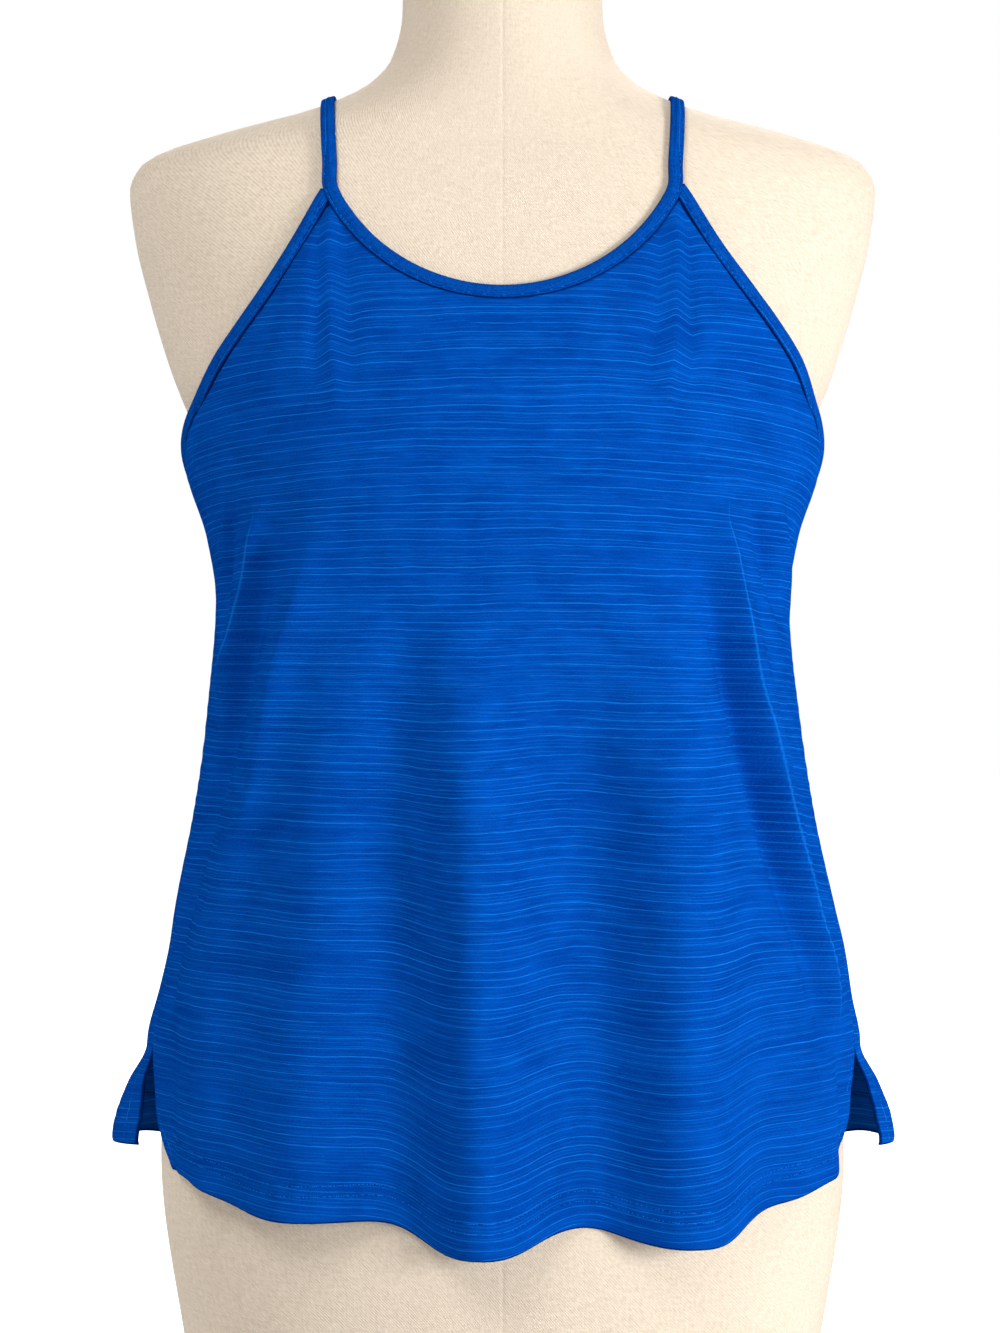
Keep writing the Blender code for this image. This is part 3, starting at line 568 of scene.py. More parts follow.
@dataclass(frozen=True)
class Hang:
    """How one panel's jersey lies on the form and hangs from it."""

    side: Side
    form: BodyForm = field(default_factory=BodyForm)
    rest_height: float = 600.0 * MM
    rest_blend: float = 45.0 * MM
    softness: float = 2.0 * MM
    press: float = 1.0 * MM  # how far a trough may push the resting cloth in
    seam_reach: float = 14.0 * MM
    vent_top: float = 221.0 * MM
    vent_blend: float = 25.0 * MM
    curl_depth: float = 45.0 * MM
    curl_reach: float = 26.0 * MM
    curl_left: float = 13.0 * MM
    curl_right: float = 7.0 * MM

    @property
    def back(self) -> bool:
        """Whether this is the back panel."""
        return self.side is Side.BACK

    @property
    def folds(self) -> tuple[Fold, ...]:
        """The soft folds of this panel."""
        return BACK_FOLDS if self.back else FRONT_FOLDS

    @property
    def creases(self) -> tuple[Crease, ...]:
        """The narrow creases of this panel."""
        return BACK_CREASES if self.back else FRONT_CREASES

    def shape(self, height: Floats) -> tuple[Floats, Floats, Floats, Floats]:
        """Half width, front depth, back depth and squareness of the hang, in metres."""
        half_width = column(CLOTH_SECTIONS, 1, height) * MM
        if self.back:
            half_width = half_width + column(CLOTH_SECTIONS, 2, height) * MM
        front = column(CLOTH_SECTIONS, 3, height) * MM
        rear = column(CLOTH_SECTIONS, 4, height) * MM
        return half_width, front, rear, column(CLOTH_SECTIONS, 5, height)

    def section(self, turn: Floats, height: Floats) -> tuple[Floats, Floats, Floats]:
        """Half width, depth on the turn's own side, and squareness of the hang, in metres."""
        half_width, front, rear, square = self.shape(height)
        return half_width, np.where(np.cos(turn) > 0.0, front, rear), square

    def radius(self, turn: Floats, height: Floats) -> Floats:
        """Distance from the middle to the hang without its folds."""
        return ring_radius(turn, *self.section(turn, height))

    def turn_at(self, x: Floats, height: Floats) -> Floats:
        """Turn at which the panel is x from the middle."""
        half_width, front, rear, square = self.shape(height)
        share = np.minimum(np.abs(x) / half_width, 0.995)
        y = (rear if self.back else front) * (1.0 - share**square) ** (1.0 / square)
        turn = np.arctan2(share * half_width * np.sign(x), y)
        return np.pi - turn if self.back else turn

    def seam_turn(self, height: Floats) -> Floats:
        """Turn of the panel's side edge on the +X side."""
        turn = column(SEAM_TURNS, 1, height)
        if self.back:
            turn = turn + column(SEAM_TURNS, 2, height)
        return np.radians(turn)

    def fold_place(self, fold: Fold, turn: Floats, height: Floats) -> tuple[Floats, Floats]:
        """Share of the way down a fold, and the distance from its line as a share of its reach."""
        down = np.clip((fold.z_top * MM - height) / ((fold.z_top - fold.z_low) * MM), 0.0, 1.0)
        x = (fold.x_top + (fold.x_low - fold.x_top) * down) * MM
        return down, (turn - self.turn_at(x, height)) * self.radius(turn, height) / (fold.reach * MM)

    def fold_share(self, fold: Fold, turn: Floats, height: Floats) -> Floats:
        """How much of a fold's push is felt at each place, before its height is applied."""
        down, away = self.fold_place(fold, turn, height)
        grown = smooth_step(down / 0.4)
        faded = 1.0 - (1.0 - fold.left_at_low) * smooth_step((down - 0.5) / 0.5)
        return grown * faded * np.exp(-away * away)

    def hem_dip(self, turn: Floats, height: Floats) -> Floats:
        """How far the folds lower the hem, and the courses near it, in metres."""
        dip = np.zeros_like(turn)
        for fold in self.folds:
            if fold.hem_drop:
                down, away = self.fold_place(fold, turn, height)
                lower = np.clip(down * (fold.z_top - fold.z_low) / (fold.z_top - HEM_LEVEL), 0.0, 1.0)
                dip = dip + fold.hem_drop * MM * lower**1.5 * np.exp(-np.abs(away / fold.hem_spread) ** 3)
        return dip

    def seam_hold(self, turn: Floats, height: Floats) -> Floats:
        """Share of a fold's push: none along a sewn side seam, all of it away from the seam."""
        seam = np.radians(column(SEAM_TURNS, 1, height))
        from_seam = np.abs(np.arccos(np.cos(turn)) - seam) * self.radius(turn, height)
        sewn = smooth_step(1.0 + (height - self.vent_top) / self.vent_blend)
        return 1.0 - sewn * (1.0 - smooth_step(from_seam / self.seam_reach))

    def vent_curl(self, turn: Floats, height: Floats) -> Floats:
        """How far the back panel's vent edge has curled in."""
        from_edge = (np.arccos(np.cos(turn)) - self.seam_turn(height)) * self.radius(turn, height)
        near = np.clip(1.0 - from_edge / self.curl_reach, 0.0, 1.0) ** 2
        amount = np.where(np.sin(turn) > 0.0, self.curl_right, self.curl_left)
        return amount * near * smooth_step((self.vent_top - height) / self.curl_depth)

    def full_turn(self, turn: Floats) -> Floats:
        """The turn as the crease tables count it, from -90 to 90 in front and 90 to 270 behind."""
        return np.mod(turn, 2.0 * np.pi) if self.back else turn

    def point(self, turn: Floats, height: Floats) -> Floats:
        """Outer face of the jersey at each turn and height, with all its folds and creases."""
        turn = np.asarray(turn, float)
        height = np.asarray(height, float)
        resting = self.form.rest(turn, height)
        clear = self.radius(turn, height) - np.hypot(resting[..., 0], resting[..., 1])
        stand = above_zero(clear, self.softness) * smooth_step((self.rest_height - height) / self.rest_blend)
        point = resting + stand[..., None] * out_of(turn)
        push = self.push(turn, height)
        kept = above_zero(stand + push + self.press, self.press) - self.press - stand
        push = np.where(push < 0.0, np.maximum(kept, push), push)
        point = point + push[..., None] * self.facing(turn, height)
        point[..., 0] += column(SWAY, 1, height) * MM
        return point

    def from_crest(self, turn: Floats, height: Floats) -> Floats:
        """Distance from the sharp crest on each side of the front, in metres, far where there is none; the jersey's
        painted highlight lies along the crest.
        """
        if self.back:
            return np.full(np.shape(turn), FAR)
        radius = self.radius(turn, height)
        left, left_ends = FRONT_CREASES[LEFT_CREST].off_line(turn, height, radius)
        right, right_ends = FRONT_CREASES[RIGHT_CREST].off_line(turn, height, radius)
        near = np.where(turn < 0.0, -left / np.maximum(left_ends, 0.02), right / np.maximum(right_ends, 0.02))
        return np.clip(near, -30.0, 30.0) * MM

    def facing(self, turn: Floats, height: Floats) -> Floats:
        """Level unit normal of the hang without its folds."""
        half_width, depth, square = self.section(turn, height)
        radius = ring_radius(turn, half_width, depth, square)
        x = np.sin(turn) * radius / half_width
        y = -np.cos(turn) * radius / depth
        power = square - 1.0
        level = [
            np.sign(x) * np.abs(x) ** power / half_width,
            np.sign(y) * np.abs(y) ** power / depth,
            np.zeros_like(x),
        ]
        return unit(np.stack(level, axis=-1))

    def push(self, turn: Floats, height: Floats) -> Floats:
        """How far folds, creases and the curl of the vents move the jersey outwards."""
        radius = self.radius(turn, height)
        push = np.zeros_like(turn)
        for fold in self.folds:
            push = push + fold.height * MM * self.fold_share(fold, turn, height)
        own = self.full_turn(turn)
        for crease in self.creases:
            push = push + crease.height * MM * crease.share(own, height, radius)
        push = push * self.seam_hold(turn, height)
        return push - self.vent_curl(turn, height) if self.back else push

    def course(self, turn: Floats, height: Floats) -> Floats:
        """Length up the jersey of the course that passes each place, in metres."""
        level = height + self.hem_dip(turn, height)
        own, radius = self.full_turn(turn), self.radius(turn, height)
        for crease in self.creases:
            if crease.lift:
                level = level - crease.lift * MM * crease.share(own, height, radius)
        middle = np.pi * self.back
        swing = np.abs(own - middle) / np.abs(self.seam_turn(height) - middle)
        left = column(COURSE_DROPS, 1, height)
        right = left if self.back else column(COURSE_DROPS, 2, height)
        drop = np.where(own < middle, left, right) * (0.5 if self.back else 1.0)
        return level + drop * MM * swing**2.6


class Shader:
    """A Principled material and the nodes that feed it."""

    def __init__(self, name: str) -> None:
        """Start a material with nothing but its Principled shader and output."""
        self.material = bpy.data.materials.new(name)
        self.material.use_nodes = True
        self.tree = self.material.node_tree
        self.surface = self.tree.nodes["Principled BSDF"]

    def set(self, **values: object) -> None:
        """Give the surface's own sockets plain values, with spaces in names as underscores."""
        for name, value in values.items():
            self.surface.inputs[name.replace("_", " ")].default_value = value

    def node(self, kind: str, settings: dict[str, object], **inputs: object) -> bpy.types.Node:
        """Add a node.

        Args:
            kind: The node's type.
            settings: Its own options.
            **inputs: Values or sockets for its inputs, with spaces in names as underscores.

        Returns:
            The new node.
        """
        node = self.tree.nodes.new(kind)
        for name, value in settings.items():
            setattr(node, name, value)
        for name, value in inputs.items():
            self.feed(node.inputs[name.replace("_", " ")], value)
        return node

    def feed(self, socket: Socket, value: object) -> None:
        """Link a socket to another, or set its value."""
        if isinstance(value, Socket):
            self.tree.links.new(value, socket)
        else:
            socket.default_value = value

    def sum(self, operation: str, *terms: object) -> Socket:
        """Result of a Math node on one to three values or sockets."""
        node = self.tree.nodes.new("ShaderNodeMath")
        node.operation = operation
        for socket, term in zip(node.inputs, terms):
            self.feed(socket, term)
        return node.outputs[0]

    def times(self, first: object, second: object) -> Socket:
        """Product of two values or sockets."""
        return self.sum("MULTIPLY", first, second)

    def weigh(self, value: object, weight: object, rest: object) -> Socket:
        """A value times its weight, added to the rest."""
        return self.sum("MULTIPLY_ADD", value, weight, rest)

    def spread(self, value: object, low: float, high: float, to_low: float, to_high: float):
        """A value carried smoothly from one range to another, held at both ends.

        Args:
            value: The socket to carry.
            low: Where the old range starts.
            high: Where it ends.
            to_low: What low becomes.
            to_high: What high becomes.

        Returns:
            The carried value's socket.
        """
        settings = {"interpolation_type": "SMOOTHSTEP"}
        node = self.node("ShaderNodeMapRange", settings, Value=value)
        for name, number in zip(("From Min", "From Max", "To Min", "To Max"), (low, high, to_low, to_high)):
            node.inputs[name].default_value = number
        return node.outputs[0]

    def place(self, u: object, v: object) -> Socket:
        """Vector from two values."""
        return self.node("ShaderNodeCombineXYZ", {}, X=u, Y=v).outputs[0]

    def noise(self, vector: object, scale: float, detail: float = 2.0) -> Socket:
        """Smooth two-dimensional noise, about 0.5 on average."""
        settings = {"noise_dimensions": "2D"}
        return self.node("ShaderNodeTexNoise", settings, Vector=vector, Scale=scale, Detail=detail).outputs[0]

    def grain(self, u: object, v: object, across: float, up: float, detail: float) -> Socket:
        """Noise with its own number of cells for each metre across and up the cloth."""
        return self.noise(self.place(self.times(u, across), self.times(v, up)), 1.0, detail)

    def solid_noise(self, scale: float, detail: float) -> Socket:
        """Smooth noise through the piece's own space, about 0.5 on average."""
        place = self.node("ShaderNodeTexCoord", {}).outputs["Object"]
        settings = {"noise_dimensions": "3D"}
        return self.node("ShaderNodeTexNoise", settings, Vector=place, Scale=scale, Detail=detail).outputs[0]

    def blend(self, share: object, first: object, second: object) -> Socket:
        """Mix of two colours."""
        node = self.tree.nodes.new("ShaderNodeMix")
        node.data_type = "RGBA"
        self.feed(node.inputs[0], share)
        self.feed(node.inputs[6], first)
        self.feed(node.inputs[7], second)
        return node.outputs[2]

    def uv(self, name: str) -> tuple[Socket, Socket]:
        """The two coordinates of a UV map, in metres."""
        node = self.node("ShaderNodeUVMap", {"uv_map": name})
        split = self.node("ShaderNodeSeparateXYZ", {}, Vector=node.outputs[0])
        return split.outputs[0], split.outputs[1]

    def shaded(self, colour: object, near: float, far: float, share: float) -> Socket:
        """A colour darkened by painted shade towards sewn and turned edges.

        Args:
            colour: The cloth's colour.
            near: Distance from the edge, in metres, within which it is deepest.
            far: Distance at which nothing is left of it.
            share: How much of it is felt at the edge.

        Returns:
            Socket of the colour.
        """
        # painted shade: dark navy laid where the UV map Edge puts a sewn or turned edge, stitch row or binding near
        beside = self.spread(self.uv("Edge")[0], near, far, share, 0.0)
        return self.blend(beside, colour, tone(0.0002, 0.010, 0.085))

    def finish(self, colour: object, relief: object, depth: float, strength: float) -> Material:
        """Join colour and relief to the surface.

        Args:
            colour: Socket of the base colour.
            relief: Socket of the surface's height, from 0 to 1.
            depth: How far, in metres, a height of 1 stands up.
            strength: Strength of the bump.

        Returns:
            The material.
        """
        self.feed(self.surface.inputs["Base Color"], colour)
        bump = self.node("ShaderNodeBump", {}, Strength=strength, Distance=depth, Height=relief)
        self.tree.links.new(bump.outputs[0], self.surface.inputs["Normal"])
        return self.material


def tone(red: float, green: float, blue: float) -> Colour:
    """A colour as linear values with full cover."""
    return (red, green, blue, 1.0)


@dataclass(frozen=True)
class JerseyFinish:
    """Light slub jersey: fine courses, thin pale lines a few millimetres apart, and soft streaks."""

    name: str = "slub_jersey"
    dark: Colour = tone(0.0004, 0.037, 0.265)
    light: Colour = tone(0.0008, 0.072, 0.425)
    line: Colour = tone(0.007, 0.21, 0.76)
    line_pitch: float = 4.6 * MM
    line_half: float = 0.056  # half a pale line's thickness, as a share of the pitch
    line_gaps: float = 0.32  # noise level below which a line fades out
    line_share: float = 0.72  # how much of a line's own colour shows
    fine_pitch: float = 1.8 * MM
    fine_half: float = 0.19
    fine_gaps: float = 0.38
    fine_share: float = 0.22
    crest_highlight_share: float = 0.36  # how much of the pale line's colour is painted on a sharp crest as a highlight
    roughness: float = 0.55

    def lines(self, make: Shader, u: object, v: object, pitch: float, thin: float, broken: float):
        """Pale lines along the courses.

        Args:
            make: The shader that gets the nodes.
            u: Length across the cloth.
            v: Length up the cloth.
            pitch: Usual distance between two lines.
            thin: Half the line's thickness, as a share of the pitch.
            broken: Noise level below which a line fades out.

        Returns:
            Socket with 1 on a line and 0 off it.
        """
        at = make.sum("DIVIDE", v, pitch)
        settings = {"voronoi_dimensions": "1D"}
        cells = make.node("ShaderNodeTexVoronoi", settings, W=at, Scale=1.0, Randomness=0.4)
        on_line = make.spread(cells.outputs["Distance"], thin * 0.3, thin * 1.3, 1.0, 0.0)
        own = make.node("ShaderNodeSeparateColor", {}, Color=cells.outputs["Color"])
        along = make.weigh(own.outputs[0], 7.3, u)
        across = make.times(own.outputs[1], 0.9)
        run = make.noise(make.place(along, across), 11.0, 3.5)
        lasting = make.spread(run, broken, broken + 0.14, 0.0, 1.0)
        bits = make.noise(make.place(make.times(along, 190.0), across), 1.0, 2.0)
        weight = make.weigh(own.outputs[2], 0.35, make.weigh(bits, 0.8, 0.1))
        return make.times(make.times(on_line, lasting), weight)

    def material(self) -> Material:
        """Build the jersey."""
        make = Shader(self.name)
        make.set(Roughness=self.roughness, Specular_IOR_Level=0.0, Sheen_Weight=0.01, Sheen_Roughness=0.4)
        make.set(Sheen_Tint=tone(0.0, 0.25, 1.0), Specular_Tint=tone(0.0, 0.28, 1.0))
        u, v = make.uv("Course")
        slow = make.noise(make.place(u, make.times(v, 2.5)), 9.0, 1.0)
        quick = make.noise(make.place(u, make.times(v, 3.0)), 42.0, 2.0)
        waver = make.weigh(make.sum("SUBTRACT", slow, 0.5), 0.0036, v)
        waver = make.weigh(make.sum("SUBTRACT", quick, 0.5), 0.0013, waver)
        strong = self.lines(make, u, waver, self.line_pitch, self.line_half, self.line_gaps)
        fine = self.lines(make, u, waver, self.fine_pitch, self.fine_half, self.fine_gaps)
        bands = make.grain(u, waver, 14.0, 260.0, 2.0)
        streaks = make.grain(u, v, 70.0, 1400.0, 2.0)
        patches = make.noise(make.place(u, make.times(v, 1.6)), 34.0, 3.0)
        loops = make.noise(make.place(u, v), 1500.0, 0.0)
        shade = make.weigh(bands, 0.24, make.times(streaks, 0.42))
        shade = make.sum("ADD", shade, make.weigh(patches, 0.60, make.times(loops, 0.50)))
        shade = make.spread(shade, 0.46, 1.30, 0.0, 1.0)
        colour = make.blend(shade, self.dark, self.light)
        colour = make.blend(make.times(fine, self.fine_share), colour, self.line)
        colour = make.blend(make.times(strong, self.line_share), colour, self.line)
        # painted shade along the turned edges, stitch rows, seams and beside the bindings
        colour = make.shaded(colour, 0.35 * MM, 1.1 * MM, 0.85)
        # painted highlight: the pale line's colour laid along the sharp crests
        crest = make.spread(make.sum("ABSOLUTE", make.uv("Edge")[1]), 0.05 * MM, 0.85 * MM, self.crest_highlight_share, 0.0)
        colour = make.blend(crest, colour, self.line)
        relief = make.weigh(strong, 0.55, make.weigh(fine, 0.25, streaks))
        relief = make.weigh(loops, 0.35, relief)
        return make.finish(colour, relief, 0.14 * MM, 0.4)


@dataclass(frozen=True)
class BindingFinish:
    """The same jersey cut into strips: finer, closer lines that run along the strip."""

    name: str = "binding_jersey"
    dark: Colour = tone(0.0006, 0.040, 0.26)
    light: Colour = tone(0.0016, 0.078, 0.42)
    roughness: float = 0.55

    def material(self) -> Material:
        """Build the strip's jersey."""
        make = Shader(self.name)
        make.set(Roughness=self.roughness, Specular_IOR_Level=0.0, Sheen_Weight=0.01, Sheen_Roughness=0.4)
        make.set(Sheen_Tint=tone(0.0, 0.25, 1.0), Specular_Tint=tone(0.0, 0.3, 1.0))
        u, v = make.uv("Course")
        grain = make.grain(u, v, 60.0, 1500.0, 3.0)
        pucker = make.grain(u, v, 420.0, 160.0, 2.0)
        loops = make.noise(make.place(u, v), 1600.0, 0.0)
        shade = make.weigh(grain, 0.9, make.weigh(pucker, 0.6, loops))
        colour = make.blend(make.spread(shade, 0.9, 1.6, 0.0, 1.0), self.dark, self.light)
        # painted shade along the strip's sides and its stitched channel
        colour = make.shaded(colour, 0.1 * MM, 0.55 * MM, 0.8)
        relief = make.weigh(pucker, 1.3, make.weigh(grain, 0.5, loops))
        return make.finish(colour, relief, 0.2 * MM, 0.6)


@dataclass(frozen=True)
class ThreadFinish:
    """Sewing thread, twisted and a little brighter than the cloth."""

    name: str = "sewing_thread"
    dark: Colour = tone(0.003, 0.12, 0.55)
    light: Colour = tone(0.018, 0.24, 0.84)

    def material(self) -> Material:
        """Build the thread."""
        make = Shader(self.name)
        make.set(Roughness=0.6, Specular_IOR_Level=0.0)
        twist = make.solid_noise(2600.0, 1.0)
        colour = make.blend(make.spread(twist, 0.35, 0.65, 0.0, 1.0), self.dark, self.light)
        return make.finish(colour, twist, 0.05 * MM, 0.5)


@dataclass(frozen=True)
class FormCoverFinish:
    """Cream cover of the form: a fine twill with a slightly uneven yarn and a few slubs."""

    name: str = "form_cover_twill"
    shade: Colour = tone(0.62, 0.515, 0.405)
    light: Colour = tone(0.83, 0.725, 0.60)
    twill_pitch: float = 1.6 * MM
    roughness: float = 0.9

    def material(self) -> Material:
        """Build the twill."""
        make = Shader(self.name)
        make.set(Roughness=self.roughness, Specular_IOR_Level=0.12, Sheen_Weight=0.35, Sheen_Roughness=0.5)
        make.set(Sheen_Tint=tone(1.0, 0.93, 0.84))
        u, v = make.uv("Course")
        drift = make.noise(make.place(u, v), 30.0, 2.0)
        slant = make.sum("ADD", make.times(u, 0.8), make.weigh(drift, 0.0012, v))
        wave = make.sum("SINE", make.times(slant, math.tau / self.twill_pitch))
        run = make.sum("SUBTRACT", u, make.times(v, 0.8))
        dashes = make.grain(run, slant, 230.0, 820.0, 1.5)
        slubs = make.grain(u, v, 70.0, 900.0, 2.0)
        rises = make.grain(u, v, 900.0, 60.0, 2.0)
        mottle = make.noise(make.place(u, v), 14.0, 4.0)
        shade = make.weigh(wave, 0.10, make.weigh(dashes, 0.7, 0.2))
        shade = make.sum("ADD", shade, make.times(make.sum("SUBTRACT", slubs, 0.5), 0.3))
        shade = make.sum("ADD", shade, make.times(make.sum("SUBTRACT", rises, 0.5), 0.25))
        shade = make.sum("ADD", shade, make.times(make.sum("SUBTRACT", mottle, 0.5), 0.14))
        colour = make.blend(make.spread(shade, 0.05, 0.95, 0.0, 1.0), self.shade, self.light)
        relief = make.weigh(wave, 0.4, make.weigh(dashes, 1.6, slubs))
        return make.finish(colour, relief, 0.22 * MM, 0.6)


@dataclass(frozen=True)
class FloorFinish:
    """Pale matte studio floor that runs into the white air behind it."""

    name: str = "studio_floor"
    glow: float = 0.85

    def material(self) -> Material:
        """Build the floor's surface."""
        make = Shader(self.name)
        make.set(Roughness=0.9, Specular_IOR_Level=0.1, Emission_Color=tone(1.0, 1.0, 1.0))
        mottle = make.solid_noise(3.0, 3.0)
        colour = make.blend(mottle, tone(0.90, 0.90, 0.90), tone(0.94, 0.94, 0.94))
        seen = make.node("ShaderNodeLightPath", {}).outputs["Is Camera Ray"]
        make.feed(make.surface.inputs["Emission Strength"], make.times(seen, self.glow))
        return make.finish(colour, mottle, 0.2 * MM, 0.1)


def make_piece(
    name: str,
    points: Floats,
    faces: list[tuple[int, ...]] | NDArray[np.int64],
    material: Material,
    coordinates: Floats | None = None,
    edges: Floats | None = None,
) -> Object:
    """Add a mesh object to the scene.

    Args:
        name: The piece's name.
        points: Its points in the row frame.
        faces: Its faces as point numbers.
        material: Its finish.
        coordinates: Two lengths for each point, which the finish reads as the UV map Course.
        edges: Distances of each point from a sewn or turned edge, where the finish paints shade, and from a sharp
        crest, where it paints a highlight; it reads them as the UV map Edge.

    Returns:
        The new object, smooth shaded with its outward faces outwards.
    """
    mesh = bpy.data.meshes.new(name)
    mesh.from_pydata(points.tolist(), [], faces if isinstance(faces, list) else faces.tolist())
    corners = np.zeros(len(mesh.loops), np.int32)
    mesh.loops.foreach_get("vertex_index", corners)
    if coordinates is not None:
        layer = mesh.uv_layers.new(name="Course")
        layer.data.foreach_set("uv", coordinates[corners].astype(np.float32).ravel())
    if edges is not None:
        layer = mesh.uv_layers.new(name="Edge")
        layer.data.foreach_set("uv", edges[corners].astype(np.float32).ravel())
    shape = bmesh.new()
    shape.from_mesh(mesh)
    bmesh.ops.recalc_face_normals(shape, faces=shape.faces)
    shape.to_mesh(mesh)
    shape.free()
    mesh.shade_smooth()
    mesh.materials.append(material)
    piece = bpy.data.objects.new(name, mesh)
    bpy.context.scene.collection.objects.link(piece)
    return piece


def ring_faces(rings: int, size: int, closed: bool) -> list[tuple[int, ...]]:
    """Quads between neighbouring rings of points, and caps on an open run's two ends."""
    faces: list[tuple[int, ...]] = []
    for i in range(rings if closed else rings - 1):
        here, there = i * size, (i + 1) % rings * size
        for j in range(size):
            k = (j + 1) % size
            faces.append((here + j, here + k, there + k, there + j))
    if not closed:
        faces.append(tuple(reversed(range(size))))
        faces.append(tuple(range((rings - 1) * size, rings * size)))
    return faces


@dataclass(frozen=True)
class Sewing:
    """A row of stitches, each a short rounded thread that dips into the cloth at both ends."""

    pitch: float = 2.0 * MM
    stitch: float = 1.45 * MM
    thread: float = 0.19 * MM
    sink: float = 0.05 * MM

    def build(self, name: str, rows: list[tuple[Floats, Floats]], finish: Material) -> Object:
        """Sew along lines.

        Args:
            name: The piece's name.
            rows: For each row its points in order and the cloth's outward normals there.
            finish: The thread's finish.

        Returns:
            One object with all the stitches.
        """
        along = np.array([-0.5, -0.36, 0.0, 0.36, 0.5]) * self.stitch
        thick = np.array([0.45, 0.9, 1.0, 0.9, 0.45]) * self.thread
        rise = np.array([-0.9, 0.1, 0.5, 0.1, -0.9]) * self.thread - self.sink
        rings, sides = len(along), 6
        size = rings * sides
        spokes = np.linspace(0.0, math.tau, sides, endpoint=False)
        points: list[Floats] = []
        faces: list[NDArray[np.int64]] = []
        body = np.array(ring_faces(rings, sides, closed=False)[:-2])
        caps = np.array([[5, 4, 3, 2], [5, 2, 1, 0], [24, 25, 26, 27], [24, 27, 28, 29]])  # each end's two quads
        shell = np.vstack([body, caps])
        start = 0
        for line, normals in rows:
            run = length_of(line)
            count = max(2, round(run / self.pitch))
            both = even_points(np.hstack([line, normals]), 2 * count + 1)
            centre, up = both[1::2, :3], unit(both[1::2, 3:])
            ahead = unit(both[2::2, :3] - both[:-2:2, :3])
            across = unit(np.cross(up, ahead))
            ring = (
                centre[:, None, None]
                + along[None, :, None, None] * ahead[:, None, None]
                + (rise[:, None] + thick[:, None] * np.sin(spokes))[None, :, :, None] * up[:, None, None]
                + (thick[:, None] * np.cos(spokes))[None, :, :, None] * across[:, None, None]
            )
            points.append(ring.reshape(-1, 3))
            offsets = start + size * np.arange(count)
            faces.append((shell[None] + offsets[:, None, None]).reshape(-1, 4))
            start += size * count
        return make_piece(name, np.vstack(points), np.vstack(faces), finish)


